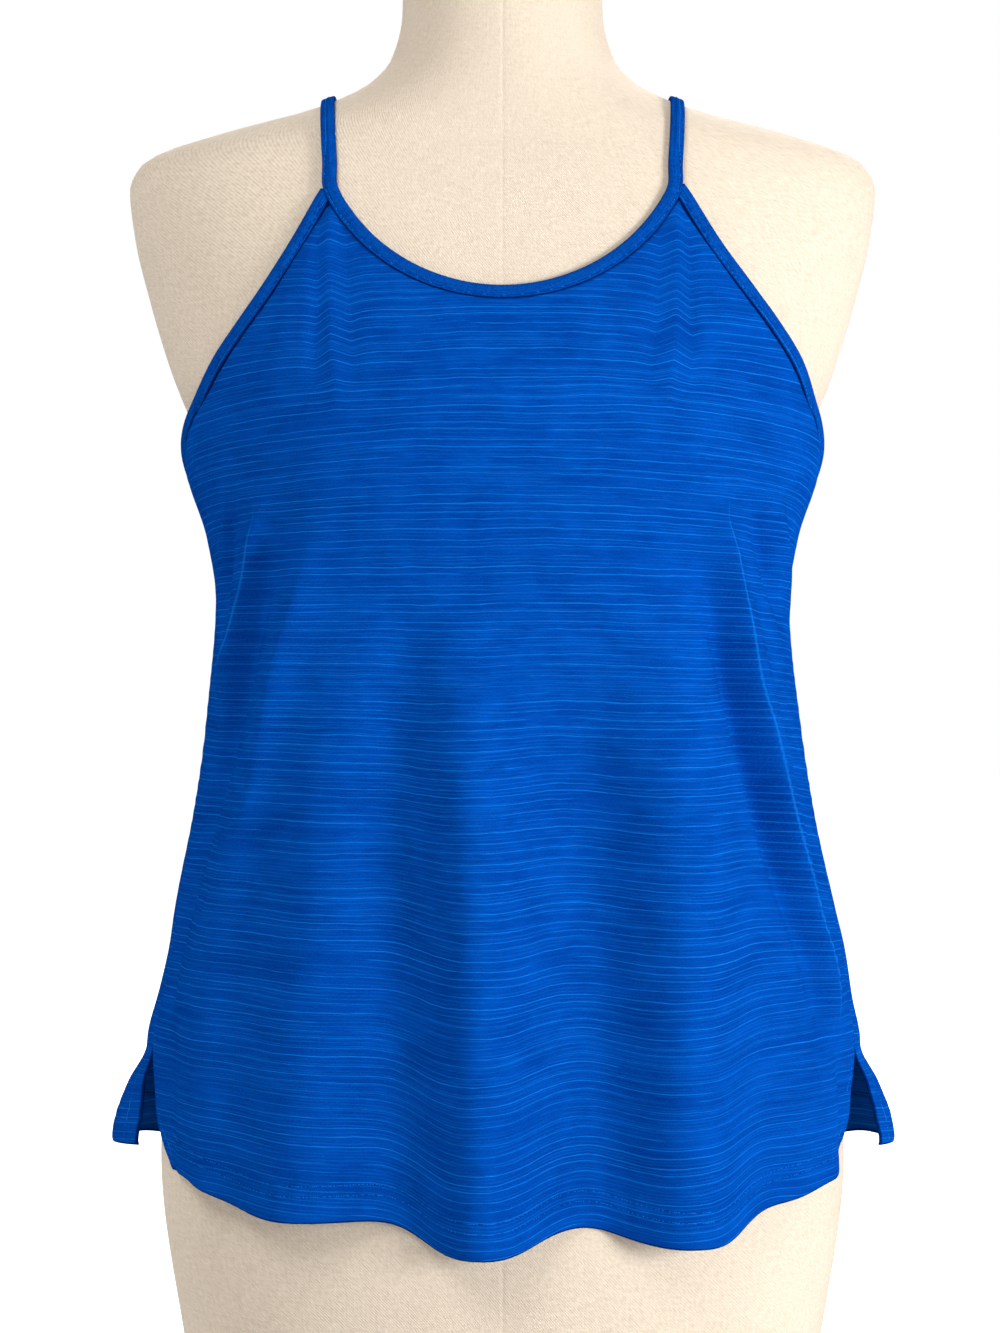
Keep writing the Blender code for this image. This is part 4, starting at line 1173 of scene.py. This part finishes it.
@dataclass
class Panel:
    """One jersey panel with its turned hem, turned vents and side seams."""

    name: str
    hang: Hang
    hem_height: float
    hem_rise: float
    hem_rise_from: float  # share of the way to the side
    hem_rise_over: float
    wall: float = 0.8 * MM
    turning: float = 0.6 * MM  # what the turned layer adds to the wall
    hem_depth: float = 21.5 * MM
    vent_depth: float = 8.5 * MM
    hem_rows: tuple[float, ...] = (13.9 * MM, 19.3 * MM)
    vent_row: float = 5.2 * MM
    columns: int = 232
    high_rows: int = 112
    vent_rows: int = 22
    crowding: float = 0.87  # below 1, rows lie closer towards the top
    half_span: float = 262.0 * MM  # from the middle to a side edge, on average
    bound_from: float = 500.0 * MM  # no binding lies lower
    outer: Floats = field(init=False, repr=False)
    normals: Floats = field(init=False, repr=False)
    turn: Floats = field(init=False, repr=False)
    height: Floats = field(init=False, repr=False)
    above_hem: Floats = field(init=False, repr=False)
    from_edge: Floats = field(init=False, repr=False)
    edge_distance: Floats = field(init=False, repr=False)
    columns_in: tuple[float, ...] = (0.0, 0.5, 1.2, 2.2, 3.4, 4.5, 5.2, 5.9, 7.2, 8.4, 8.7, 10.2)  # mm from the side
    rows_up: tuple[float, ...] = (0.0, 0.4, 1.0, 2.2, 4.2, 7.0, 9.8, 12.0)  # mm from the hem to its stitching

    def hem(self, shares: Floats) -> Floats:
        """Height of the hem at each share of the way to the side edge."""
        back = self.hang.back
        climb = smooth_step((np.abs(shares) - self.hem_rise_from) / self.hem_rise_over)
        base = self.hem_height + self.hem_rise * climb**1.25
        reach = np.abs(np.pi * back - self.hang.seam_turn(base))
        turn = np.pi * back + shares * reach
        return base - self.hang.hem_dip(turn, base)

    def half_top(self, neck_edge: Floats, arm_edge: Floats) -> tuple[Floats, Floats, float]:
        """Top edge of a half panel.

        Args:
            neck_edge: The half's neck edge, laid at +X.
            arm_edge: The half's armhole edge, laid at +X.

        Returns:
            Shares of the way to the side, the heights there, and the apex's share.
        """
        neck_swing, arm_swing = (np.abs(self.swing(edge)) for edge in (neck_edge, arm_edge))
        order, rank = np.argsort(neck_swing), np.argsort(arm_swing)
        sweep = np.linspace(0.0, np.pi / 2.0, 6000)
        neck = np.interp(sweep, neck_swing[order], neck_edge[order, 2])
        arm = np.interp(sweep, arm_swing[rank], arm_edge[rank, 2])
        neck[sweep > neck_swing.max()] = FAR
        arm[sweep < arm_swing.min()] = FAR
        apex = sweep[np.nonzero(arm <= neck)[0][0]]
        return sweep / (np.pi / 2.0), np.where(sweep < apex, neck, arm), float(apex / (np.pi / 2.0))

    def swing(self, points: Floats) -> Floats:
        """Turn of each point from the middle of the panel."""
        turn = np.arctan2(points[:, 0], -points[:, 1])
        return np.mod(turn, 2.0 * np.pi) - np.pi if self.hang.back else turn

    def lay_out(self, neck_edge: Floats, arm_edges: tuple[Floats, Floats]) -> None:
        """Choose the turn and height of each point of the panel's grid.

        Args:
            neck_edge: The neck's edge, the +X half.
            arm_edges: The armhole edges that the first and the last column reach, both laid at +X.
        """
        halves = [self.half_top(neck_edge, edge) for edge in arm_edges]
        edge_shares = 1.0 - np.array(self.columns_in) * MM / self.half_span
        regular = np.linspace(0.0, edge_shares[-1] - 0.006, self.columns // 2)
        shares, top = [], []
        for known, heights, apex in halves:
            own = regular.copy()
            own[np.argmin(np.abs(own - apex))] = apex
            half = np.concatenate([own, edge_shares[::-1]])
            shares.append(half)
            top.append(np.interp(half, known, heights))
        share = np.concatenate([-shares[0][:0:-1], shares[1]])
        upper = np.concatenate([top[0][:0:-1], top[1]])
        low = self.hem(share)
        first, second = self.hem_rows
        beside = 0.6 * MM
        stitched = [first - beside, first, first + beside, (first + second) / 2.0, second - beside, second]
        turned = [second + beside, self.hem_depth - 0.3 * MM, self.hem_depth + 0.3 * MM]
        steps = np.concatenate([np.array(self.rows_up) * MM, stitched, turned])
        vent = np.linspace(0.0, 1.0, self.vent_rows + 1)[1:-1, None]
        rest = np.linspace(0.0, 1.0, self.high_rows + 1)[:, None] ** self.crowding
        vent_top = self.hang.vent_top
        band = low + steps[:, None]
        self.height = np.vstack([band, band[-1] + (vent_top - band[-1]) * vent, vent_top + (upper - vent_top) * rest])
        self.above_hem = self.height - low
        back = self.hang.back
        reach = np.abs(np.pi * back - self.hang.seam_turn(self.height))
        self.turn = np.pi * back + share * reach
        self.from_edge = (1.0 - np.abs(share)) * reach * self.hang.radius(self.turn, self.height)

    def sewn_relief(self, bindings: list[Floats], half_binding: float) -> Floats:
        """Small rises and dips of the jersey beside its seams, hems and bindings."""
        height, above_hem, from_edge = self.height, self.above_hem, self.from_edge
        sewn = smooth_step((height - self.hang.vent_top + 4.0 * MM) / (6.0 * MM))
        beside = peak(from_edge, 1.5 * MM)
        waves = np.sin(height * math.tau / (9.0 * MM) + 2.1 * np.sin(height * 90.0))
        relief = sewn * (-0.85 * MM * beside)
        relief += sewn * 0.28 * MM * waves * np.exp(-from_edge / (6.0 * MM)) * (1.0 - beside)
        around = self.turn * self.hang.radius(self.turn, height)
        ripple = np.sin(around * math.tau / (11.0 * MM) + 1.7 * np.sin(around * 70.0))
        relief += 0.22 * MM * ripple * peak(above_hem - 16.0 * MM, 7.0 * MM)
        for row in self.hem_rows:
            relief -= 0.22 * MM * peak(above_hem - row, 0.55 * MM)
        relief -= 1.1 * MM * np.exp(-above_hem / (1.6 * MM))
        vent = 1.0 - sewn
        relief -= vent * 0.2 * MM * peak(from_edge - self.vent_row, 0.6 * MM)
        relief -= vent * 0.9 * MM * np.exp(-from_edge / (1.2 * MM))
        near = np.full(height.size, FAR)
        places = self.hang.point(self.turn, height).reshape(-1, 3)
        close = np.nonzero(places[:, 2] > self.bound_from)[0]
        for line in bindings:
            near[close] = np.minimum(near[close], distance_to(places[close], line))
        beyond = near.reshape(height.shape) - half_binding
        self.edge_distance = self.nearest_edge(beyond, vent)
        outside = np.maximum(beyond, 0.0)
        along = np.sin(height * math.tau / (8.0 * MM) + 3.0 * np.sin(around * 60.0))
        relief -= 0.9 * MM * peak(outside, 1.5 * MM)
        relief += 0.22 * MM * along * np.exp(-outside / (6.0 * MM)) * (beyond > 0.0)
        return relief

    def nearest_edge(self, beyond: Floats, vent: Floats) -> Floats:
        """Distance to the nearest turned edge, row of stitches, seam or binding.

        Args:
            beyond: Distance from the bindings.
            vent: 1 below the vents' tops, else 0.

        Returns:
            The distance at each point of the grid, a little more for rows and seams, which shade less.
        """
        near = np.minimum(np.maximum(beyond, 0.0), self.above_hem)
        near = np.minimum(near, self.from_edge + 0.5 * MM * (1.0 - vent))
        for row in self.hem_rows:
            near = np.minimum(near, np.abs(self.above_hem - row) + 0.7 * MM)
        vent_row = np.abs(self.from_edge - self.vent_row) + 0.7 * MM + 9.0 * MM * (1.0 - vent)
        return np.minimum(near, vent_row)

    def build(
        self,
        neck_edge: Floats,
        arm_edges: tuple[Floats, Floats],
        bindings: list[Floats],
        half_binding: float,
        finish: Material,
    ) -> Object:
        """Build the panel's shell.

        Args:
            neck_edge: The neck's edge, the +X half.
            arm_edges: The armhole edges that the first and the last column reach, both laid at +X.
            bindings: Middle lines of the strips that the panel is bound by.
            half_binding: Half the width of a strip.
            finish: The jersey.

        Returns:
            The panel.
        """
        self.lay_out(neck_edge, arm_edges)
        relief = self.sewn_relief(bindings, half_binding)
        outer = self.hang.point(self.turn, self.height)
        outer = outer + relief[..., None] * self.hang.facing(self.turn, self.height)
        normals = np.cross(np.gradient(outer, axis=1), np.gradient(outer, axis=0))
        self.outer, self.normals = outer, unit(normals)
        below = 1.0 - smooth_step((self.height - self.hang.vent_top + 2.0 * MM) / (2.0 * MM))
        turned = (self.above_hem < self.hem_depth) | ((self.from_edge < self.vent_depth) & (below > 0.5))
        thick = self.wall + self.turning * turned
        inner = outer - thick[..., None] * self.normals
        points, faces = self.shell(outer, inner)
        around = (self.turn - np.pi * self.hang.back) * 0.17
        courses = self.hang.course(self.turn, self.height)
        flat = np.stack([around, courses], axis=-1).reshape(-1, 2)
        rim = self.rim_order()
        coordinates = np.vstack([flat, flat, flat[rim], flat[rim]])
        # painted shade by the edges and a painted highlight along the sharp crests go where these distances are small
        near = np.stack([self.edge_distance, self.hang.from_crest(self.turn, self.height)], axis=-1).reshape(-1, 2)
        edges = np.vstack([near, near, near[rim], near[rim]])
        return make_piece(self.name, points, faces, finish, coordinates, edges)

    def rim_order(self) -> NDArray[np.int64]:
        """Point numbers round the panel's edge: along the hem, up, back along the top and down."""
        rows, columns = self.height.shape
        at = np.arange(rows * columns).reshape(rows, columns)
        return np.concatenate([at[0, :-1], at[:-1, -1], at[-1, :0:-1], at[:0:-1, 0]])

    def shell(self, outer: Floats, inner: Floats) -> tuple[Floats, list[tuple[int, ...]]]:
        """Points and faces of the closed shell with rounded rims.

        Args:
            outer: Grid of the outer face.
            inner: Grid of the inner face.

        Returns:
            The points and the faces.
        """
        rows, columns = self.height.shape
        under = rows * columns
        at = np.arange(under).reshape(rows, columns)
        quads = np.stack([at[:-1, :-1], at[:-1, 1:], at[1:, 1:], at[1:, :-1]], axis=-1).reshape(-1, 4)
        faces = np.vstack([quads, under + quads[:, ::-1]])
        rim = self.rim_order()
        outside, inside = outer.reshape(-1, 3)[rim], inner.reshape(-1, 3)[rim]
        ahead = unit(np.roll(outside, -1, axis=0) - np.roll(outside, 1, axis=0))
        thick = np.linalg.norm(outside - inside, axis=1, keepdims=True)
        bulge = unit(np.cross(ahead, outside - inside)) * 0.3 * thick
        away = np.sum(bulge * (outside - outer.reshape(-1, 3).mean(axis=0)), axis=1)
        bulge = bulge * np.sign(np.median(away))
        first = outside + (inside - outside) * 0.28 + bulge
        second = outside + (inside - outside) * 0.72 + bulge
        count = len(rim)
        k = np.arange(count)
        after = np.roll(k, -1)
        start = 2 * under
        strips = [
            np.stack([rim[k], rim[after], start + after, start + k], axis=-1),
            np.stack([start + k, start + after, start + count + after, start + count + k], axis=-1),
            np.stack([start + count + k, start + count + after, under + rim[after], under + rim[k]], axis=-1),
        ]
        points = np.vstack([outer.reshape(-1, 3), inner.reshape(-1, 3), first, second])
        return points, np.vstack([faces, *strips]).tolist()

    def cut(self) -> tuple[tuple[float, float], float]:
        """Width and length, then area, of the panel laid flat as it shows, without its turnings."""
        across, up = np.diff(self.outer, axis=1)[:-1], np.diff(self.outer, axis=0)[:, :-1]
        area = float(np.linalg.norm(np.cross(across, up), axis=-1).sum())
        width = max(length_of(row) for row in self.outer)
        length = max(length_of(line) for line in self.outer.transpose(1, 0, 2))
        return (width, length), area

    def hem_lines(self) -> list[tuple[Floats, Floats]]:
        """The twin rows of the hem's stitching."""
        rows = [int(np.argmin(np.abs(self.above_hem[:20, 0] - row))) for row in self.hem_rows]
        return [(self.outer[i, 6:-6], self.normals[i, 6:-6]) for i in rows]

    def vent_lines(self) -> list[tuple[Floats, Floats]]:
        """The stitching beside the two vents, from the hem to the vent's top."""
        last = int(np.argmin(np.abs(self.height[:, 0] - self.hang.vent_top)))
        return [(self.outer[3 : last + 3, i], self.normals[3 : last + 3, i]) for i in (6, -7)]

    def seam_lines(self) -> list[tuple[Floats, Floats]]:
        """The threads that show in the two side seams."""
        first = int(np.argmin(np.abs(self.height[:, 0] - self.hang.vent_top))) + 1
        return [(self.outer[first:, i], self.normals[first:, i]) for i in (2, -3)]

    def sew(self, thread: Material) -> list[Object]:
        """Sew the hem, vents and, on the front panel, the side seams.

        Args:
            thread: The thread's finish.

        Returns:
            The pieces of sewing.
        """
        small = Sewing(pitch=1.75 * MM, stitch=1.0 * MM, thread=0.17 * MM)
        made = [small.build(f"{self.name}_hem_stitching", self.hem_lines(), thread)]
        made.append(small.build(f"{self.name}_vent_stitching", self.vent_lines(), thread))
        if not self.hang.back:
            seam = Sewing(pitch=2.3 * MM, stitch=0.9 * MM, thread=0.15 * MM, sink=0.08 * MM)
            made.append(seam.build("side_seam_stitching", self.seam_lines(), thread))
        return made


@dataclass
class Strip:
    """A folded jersey strip, swept along its middle line and topstitched."""

    name: str

    def build(
        self,
        line: Floats,
        form: BodyForm,
        sections: Floats,
        sign: float,
        closed: bool,
        finish: Material,
        thread: Material,
        channel: Floats,
    ) -> list[Object]:
        """Build the strip and its stitching.

        Args:
            line: The middle line's points.
            form: The body it lies on.
            sections: The section at each point of the line, across and up, in metres.
            sign: 1 where the strip's open side is to the left of its run, else -1.
            closed: Whether the line comes back to its start.
            finish: The strip's jersey.
            thread: The thread's finish.
            channel: How far across the stitches lie, and how far up, at each point.

        Returns:
            The strip, then its stitching.
        """
        normals = form.normal(line)
        ahead, across = sideways(line, normals, closed)
        normals = unit(np.cross(ahead, across))
        across = across * sign
        points = line[:, None] + sections[..., :1] * across[:, None] + sections[..., 1:] * normals[:, None]
        size = sections.shape[1]
        around = np.concatenate([[0.0], np.cumsum(np.linalg.norm(np.diff(sections[0], axis=0), axis=1))])
        along = np.concatenate([[0.0], np.cumsum(np.linalg.norm(np.diff(line, axis=0), axis=1))])
        coordinates = np.stack(np.meshgrid(along, around, indexing="ij"), axis=-1).reshape(-1, 2)
        faces = ring_faces(len(line), size, closed)
        # distances at which the strip's finish paints shade along its sides and its stitched channel
        from_side = np.abs(sections[..., 0]).max(axis=1, keepdims=True) - np.abs(sections[..., 0])
        from_channel = np.abs(sections[..., 0] - channel[:, :1]) + 0.25 * MM
        near = np.minimum(from_side, from_channel).ravel()
        edges = np.stack([near, np.full(len(near), FAR)], axis=-1)
        strip = make_piece(self.name, points.reshape(-1, 3), faces, finish, coordinates, edges)
        row = line + channel[:, :1] * across + channel[:, 1:] * normals
        if closed:
            row, normals = closed_loop(row), closed_loop(normals)
        sewing = Sewing(pitch=2.2 * MM, stitch=1.6 * MM, thread=0.17 * MM, sink=0.02 * MM)
        return [strip, sewing.build(f"{self.name}_stitching", [(row, normals)], thread)]


@dataclass
class Bindings:
    """The strips round the neck and armholes, and the straps that the neck's strip runs on as."""

    form: BodyForm
    front: Hang
    back: Hang
    width: float = 7.8 * MM
    front_radius: float = 95.9 * MM
    front_centre: float = 711.7 * MM
    front_half_arc: float = math.radians(68)
    back_radius: float = 49.9 * MM
    back_centre: float = 670.0 * MM
    back_half_arc: float = math.radians(74)
    drawn_width: float = 7.0  # width of the strip's sections as tabled
    strap_pivot: float = 620.0 * MM
    strap_farthest: float = 160.0 * MM
    strap_from: float = 686.0 * MM  # height where the neck's strip leaves the panels
    tucked: float = 2.0 * MM  # how far the panels reach under the strips

    def arc(self, angles: Floats, side: Side) -> Floats:
        """Middle line of the neckline's binding."""
        front = side is Side.FRONT
        radius = self.front_radius if front else self.back_radius
        centre = self.front_centre if front else self.back_centre
        x = radius * np.sin(angles)
        z = centre - radius * np.cos(angles)
        return (self.front if front else self.back).point(self.form.turn_at(x, z, side), z)

    def strap(self, count: int) -> Floats:
        """Middle line of the +X strap, from the front apex over the shoulder to the back apex."""
        rows = np.array(STRAP_LINE)
        angle = np.linspace(rows[0, 0], rows[-1, 0], count)
        x = follow(rows[:, 0], rows[:, 1], angle) * MM
        toward = np.stack([np.zeros(count), -np.cos(np.radians(angle)), np.sin(np.radians(angle))], axis=-1)
        pivot = np.stack([x, np.zeros(count), np.full(count, self.strap_pivot)], axis=-1)
        near, far = np.zeros(count), np.full(count, self.strap_farthest)
        for _ in range(40):
            middle = (near + far) / 2.0
            inside = self.form.level(pivot + middle[:, None] * toward) < 1.0
            near, far = np.where(inside, middle, near), np.where(inside, far, middle)
        skin = pivot + near[:, None] * toward
        return skin + self.form.ease * self.form.normal(skin)

    def neck_loop(self, count: int) -> Floats:
        """Middle line of the neck binding and straps, a closed loop from the left front apex."""
        front = self.arc(np.linspace(-self.front_half_arc, self.front_half_arc, 60), Side.FRONT)
        strap = self.strap(70)
        back = self.arc(np.linspace(self.back_half_arc, -self.back_half_arc, 34), Side.BACK)
        loop = np.vstack([front, strap[1:-1], back, (strap * FLIP)[-2:0:-1]])
        smooth = soften(even_points(loop, 384, closed=True), 10, closed=True)
        return even_points(smooth, count, closed=True)

    def armhole_line(self, sign: int) -> Floats:
        """Middle line of an armhole binding, for sign 1 at +X or -1 at -X."""
        rows = np.array(ARMHOLE_EDGE)
        steps = np.linspace(0.0, len(rows) - 1.0, 180)
        knots = np.arange(len(rows))
        further = rows[:, 2] if sign > 0 else 0.0
        turn = np.radians(follow(knots, rows[:, 0] + further, steps)) * sign
        height = follow(knots, rows[:, 1], steps) * MM
        front_part = np.abs(turn) < np.pi / 2.0
        points = np.where(front_part[:, None], self.front.point(turn, height), self.back.point(turn, height))
        edge = soften(points, 4)
        across = sideways(edge, self.form.normal(edge))[1]
        downward = np.where(across[:, 2] > 0.0, -1.0, 1.0)
        return even_points(edge + across * downward[:, None] * self.width / 2.0, 180)

    def cut_edge(self, line: Floats) -> Floats:
        """The panel's edge, tucked under the binding that has this middle line."""
        belly = np.array([0.0, 0.0, 0.3])
        across = sideways(line, self.form.normal(line))[1]
        side = np.sign(np.sum(across * (belly - line), axis=-1, keepdims=True))
        return line + across * side * (self.width / 2.0 - self.tucked)

    def neck_edge(self, side: Side) -> Floats:
        """The +X half of a panel's neck edge."""
        half = self.front_half_arc if side is Side.FRONT else self.back_half_arc
        return self.cut_edge(self.arc(np.linspace(0.0, half + math.radians(6), 90), side))

    def build(self, finish: Material, thread: Material) -> dict[str, list[Object]]:
        """Build the three strips with their stitching.

        Args:
            finish: The strips' jersey.
            thread: The thread's finish.

        Returns:
            For each strip its name, and the strip with its stitching.
        """
        made = {}
        loop = self.neck_loop(640)
        wide = np.array([self.width / self.drawn_width, MM])
        bound, strap = np.array(BOUND_EDGE) * wide, np.array(STRAP) * wide
        strapped = smooth_step((loop[:, 2] - self.strap_from) / (14.0 * MM))[:, None, None]
        sections = bound[None] * (1.0 - strapped) + strap[None] * strapped
        on_edge, on_strap = np.array([BOUND_CHANNEL]) * wide, np.array([STRAP_CHANNEL]) * wide
        channel = on_edge * (1.0 - strapped[:, 0]) + on_strap * strapped[:, 0]
        made["neck_binding"] = Strip("neck_binding_strip").build(
            loop, self.form, sections, 1.0, True, finish, thread, channel
        )
        closed = closed_loop(loop)
        for sign, side in ((-1, "left"), (1, "right")):
            line = self.armhole_line(sign)
            met = np.nonzero(distance_to(line, closed) < self.width * 0.12)[0]
            half = len(line) // 2
            first, last = met[met < half].max(initial=-1), met[met > half].min(initial=len(line))
            line = even_points(line[first + 1 : last], 270)
            under = distance_to(line, closed)
            line = line - self.form.normal(line) * (0.9 * MM * (1.0 - smooth_step(under / (8.5 * MM))))[:, None]
            sections = np.repeat(bound[None], len(line), axis=0)
            slim = smooth_step(under / (6.0 * MM)) * 0.8 + 0.2
            blunt = smooth_step(under / (2.4 * MM)) * 0.15 + 0.85
            sections[..., 0] *= np.where(sections[..., 0] < 0.0, slim[:, None], blunt[:, None])
            channel = np.repeat(on_edge, len(line), axis=0)
            made[f"armhole_binding_{side}"] = Strip(f"armhole_binding_{side}_strip").build(
                line, self.form, sections, float(sign), False, finish, thread, channel
            )
        return made


@dataclass
class DressForm:
    """The limbless form: a smooth woven skin with a seam down the middle of its front and back."""

    form: BodyForm
    columns: int = 168
    ring_pitch: float = 4.2 * MM
    seam_half_width: float = 0.9 * MM
    seam_depth: float = 0.22 * MM
    round_from: float = 12.0 * MM  # below the top, where the rings draw closer
    round_rings: tuple[float, ...] = (10.0, 8.0, 6.0, 4.5, 3.2, 2.0, 1.0, 0.4, 0.0)  # mm below the top
    beside_seam: tuple[float, ...] = (-1.3, -0.75, -0.4, -0.18, 0.18, 0.4, 0.75, 1.3)  # degrees

    def build(self, finish: Material) -> Object:
        """Build the form.

        Args:
            finish: The cover's weave.

        Returns:
            The form.
        """
        top = FORM_SECTIONS[-1][0] * MM
        straight = top - self.round_from
        count = round(straight / self.ring_pitch)
        heights = np.concatenate([np.linspace(0.0, straight, count), top - np.array(self.round_rings) * MM])
        even = np.linspace(-np.pi, np.pi, self.columns, endpoint=False)
        close = np.radians(self.beside_seam)
        turns = np.unique(np.concatenate([even, close, close + np.pi, close - np.pi]).round(6))
        turns = turns[(turns > -np.pi - 1e-6) & (turns < np.pi - 1e-6)]
        turn, height = np.meshgrid(turns, heights)
        radius = self.form.radius(turn, height)
        radius = radius - self.seam_depth * peak(np.abs(np.sin(turn)) * radius, self.seam_half_width)
        points = out_of(turn) * radius[..., None]
        points[..., 2] = height
        size = len(turns)
        faces = ring_faces(len(heights), size, closed=False)[:-2]
        last = (len(heights) - 1) * size
        inset_top = points[-1] * np.array([0.93, 0.93, 1.0]) - np.array([0.0, 0.0, 0.4 * MM])
        middle = np.array([[0.0, 0.0, top - 0.5 * MM], [0.0, 0.0, 0.0]])
        rim = len(heights) * size
        for j in range(size):
            k = (j + 1) % size
            faces.append((last + j, last + k, rim + k, rim + j))
            faces.append((rim + j, rim + k, rim + size))
            faces.append((k, j, rim + size + 1))
        around = np.concatenate([(turn * 0.16).ravel(), inset_top[:, 0], [0.0, 0.0]])
        up = np.concatenate([height.ravel(), top + 0.05 + inset_top[:, 1], [top + 0.05, 0.0]])
        coordinates = np.stack([around, up], axis=-1)
        every = np.vstack([points.reshape(-1, 3), inset_top, middle])
        return make_piece("woven_dress_form", every, faces, finish, coordinates)


# name, place, point it faces, side in metres, power in watts
SOFTBOXES = (
    ("key_softbox", (2.8, -1.9, 0.5), (0.0, 0.0, 0.38), 1.1, 103.0),
    ("fill_softbox", (-1.2, -1.7, 2.9), (0.0, 0.0, 0.55), 1.5, 50.0),
    ("back_softbox", (0.3, 2.9, 2.4), (0.0, 0.0, 0.45), 2.2, 80.0),
)


@dataclass
class Studio:
    """Floor, lights and camera."""

    camera_place: Place = (-0.00135, -2.3, 0.423)
    lens: float = 115.03
    floor_radius: float = 14.0
    floor_sides: int = 96
    air: float = 0.31  # strength of the light from all round

    def build_floor(self) -> None:
        """Lay a round pale floor at height 0."""
        count = self.floor_sides
        spokes = np.linspace(0.0, math.tau, count, endpoint=False)
        rim = np.stack([np.cos(spokes), np.sin(spokes), np.zeros(count)], axis=-1) * self.floor_radius
        points = np.vstack([[[0.0, 0.0, 0.0]], rim]) - np.array([0.0, 0.0, 0.3 * MM])
        faces = [(0, 1 + j, 1 + (j + 1) % count) for j in range(count)]
        make_piece("floor", points, faces, FloorFinish().material())

    def add_light(
        self, name: str, place: Place, aim: Place, size: float, power: float
    ) -> None:
        """Add a square soft light.

        Args:
            name: The light's name.
            place: Where it hangs.
            aim: The point it faces.
            size: Length of its side.
            power: Its power in watts.
        """
        data = bpy.data.lights.new(name, "AREA")
        data.shape = "SQUARE"
        data.size = size
        data.energy = power
        light = bpy.data.objects.new(name, data)
        light.location = place
        direction = np.array(aim) - np.array(place)
        flat = math.hypot(direction[0], direction[1])
        light.rotation_euler = (math.atan2(flat, -direction[2]), 0.0, math.atan2(-direction[0], direction[1]))
        bpy.context.scene.collection.objects.link(light)

    def build(self) -> None:
        """Set up the whole studio."""
        scene = bpy.context.scene
        self.build_floor()
        for light in SOFTBOXES:
            self.add_light(*light)
        world = bpy.data.worlds.new("studio_air")
        world.use_nodes = True
        nodes, links = world.node_tree.nodes, world.node_tree.links
        lighting = nodes["Background"]
        lighting.inputs["Color"].default_value = tone(1.0, 0.955, 0.89)
        lighting.inputs["Strength"].default_value = self.air
        seen = nodes.new("ShaderNodeBackground")
        seen.inputs["Color"].default_value = tone(1.0, 1.0, 1.0)
        rays = nodes.new("ShaderNodeLightPath")
        either = nodes.new("ShaderNodeMixShader")
        links.new(rays.outputs["Is Camera Ray"], either.inputs[0])
        links.new(lighting.outputs[0], either.inputs[1])
        links.new(seen.outputs[0], either.inputs[2])
        links.new(either.outputs[0], nodes["World Output"].inputs["Surface"])
        scene.world = world
        scene.view_settings.view_transform = "Standard"
        scene.view_settings.look = "None"
        data = bpy.data.cameras.new("camera")
        data.lens = self.lens
        data.sensor_width = 36.0
        camera = bpy.data.objects.new("camera", data)
        camera.location = self.camera_place
        camera.rotation_euler = (math.radians(90.0), 0.0, 0.0)
        scene.collection.objects.link(camera)
        scene.camera = camera


def attach(piece: Object, node: str | None = None) -> None:
    """Let a piece ride on the part's body.

    Args:
        piece: The piece.
        node: The CAD node that it stands for, where it stands for one.
    """
    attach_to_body(piece, "root")
    if node is not None:
        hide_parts(node)
    LOG.info("%s: %d faces", piece.name, len(piece.data.polygons))


def corners(box: tuple[object, object]) -> list[list[float]]:
    """A box's two corners as plain lists."""
    return [[round(float(value), 5) for value in corner] for corner in box]


def main() -> None:
    """Build the studio, the form and the singlet, in that order."""
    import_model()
    Studio().build()
    form = BodyForm()
    front_hang, back_hang = Hang(Side.FRONT, form), Hang(Side.BACK, form)
    jersey, strip_jersey = JerseyFinish().material(), BindingFinish().material()
    thread, cover = ThreadFinish().material(), FormCoverFinish().material()

    attach(DressForm(form).build(cover), "dress_form")

    bindings = Bindings(form, front_hang, back_hang)
    strips = bindings.build(strip_jersey, thread)
    for node, (strip, stitching) in strips.items():
        attach(strip, node)
        attach(stitching)

    armholes = [bindings.armhole_line(-1), bindings.armhole_line(1)]
    left_edge, right_edge = bindings.cut_edge(armholes[0]) * FLIP, bindings.cut_edge(armholes[1])
    lines = [closed_loop(bindings.neck_loop(384)), *armholes]
    strip_lengths = dict(zip(strips, map(length_of, lines)))
    front = Panel("jersey_front", front_hang, 138.0 * MM, 18.0 * MM, 0.6, 0.38)
    back = Panel("jersey_back", back_hang, 133.0 * MM, 34.0 * MM, 0.35, 0.45)
    for panel, node, side, edges in (
        (front, "front_panel", Side.FRONT, (left_edge, right_edge)),
        (back, "back_panel", Side.BACK, (right_edge, left_edge)),
    ):
        piece = panel.build(bindings.neck_edge(side), edges, lines, bindings.width / 2.0, jersey)
        attach(piece, node)
        sewing = panel.sew(thread)
        for stitching in sewing:
            attach(stitching)
        flat, area = panel.cut()
        LOG.info("%s cut: %.3f x %.3f m, %.4f m2", panel.name, *flat, area)


if __name__ == "__main__":
    logging.basicConfig(level=logging.INFO, format="%(name)s: %(message)s")
    main()
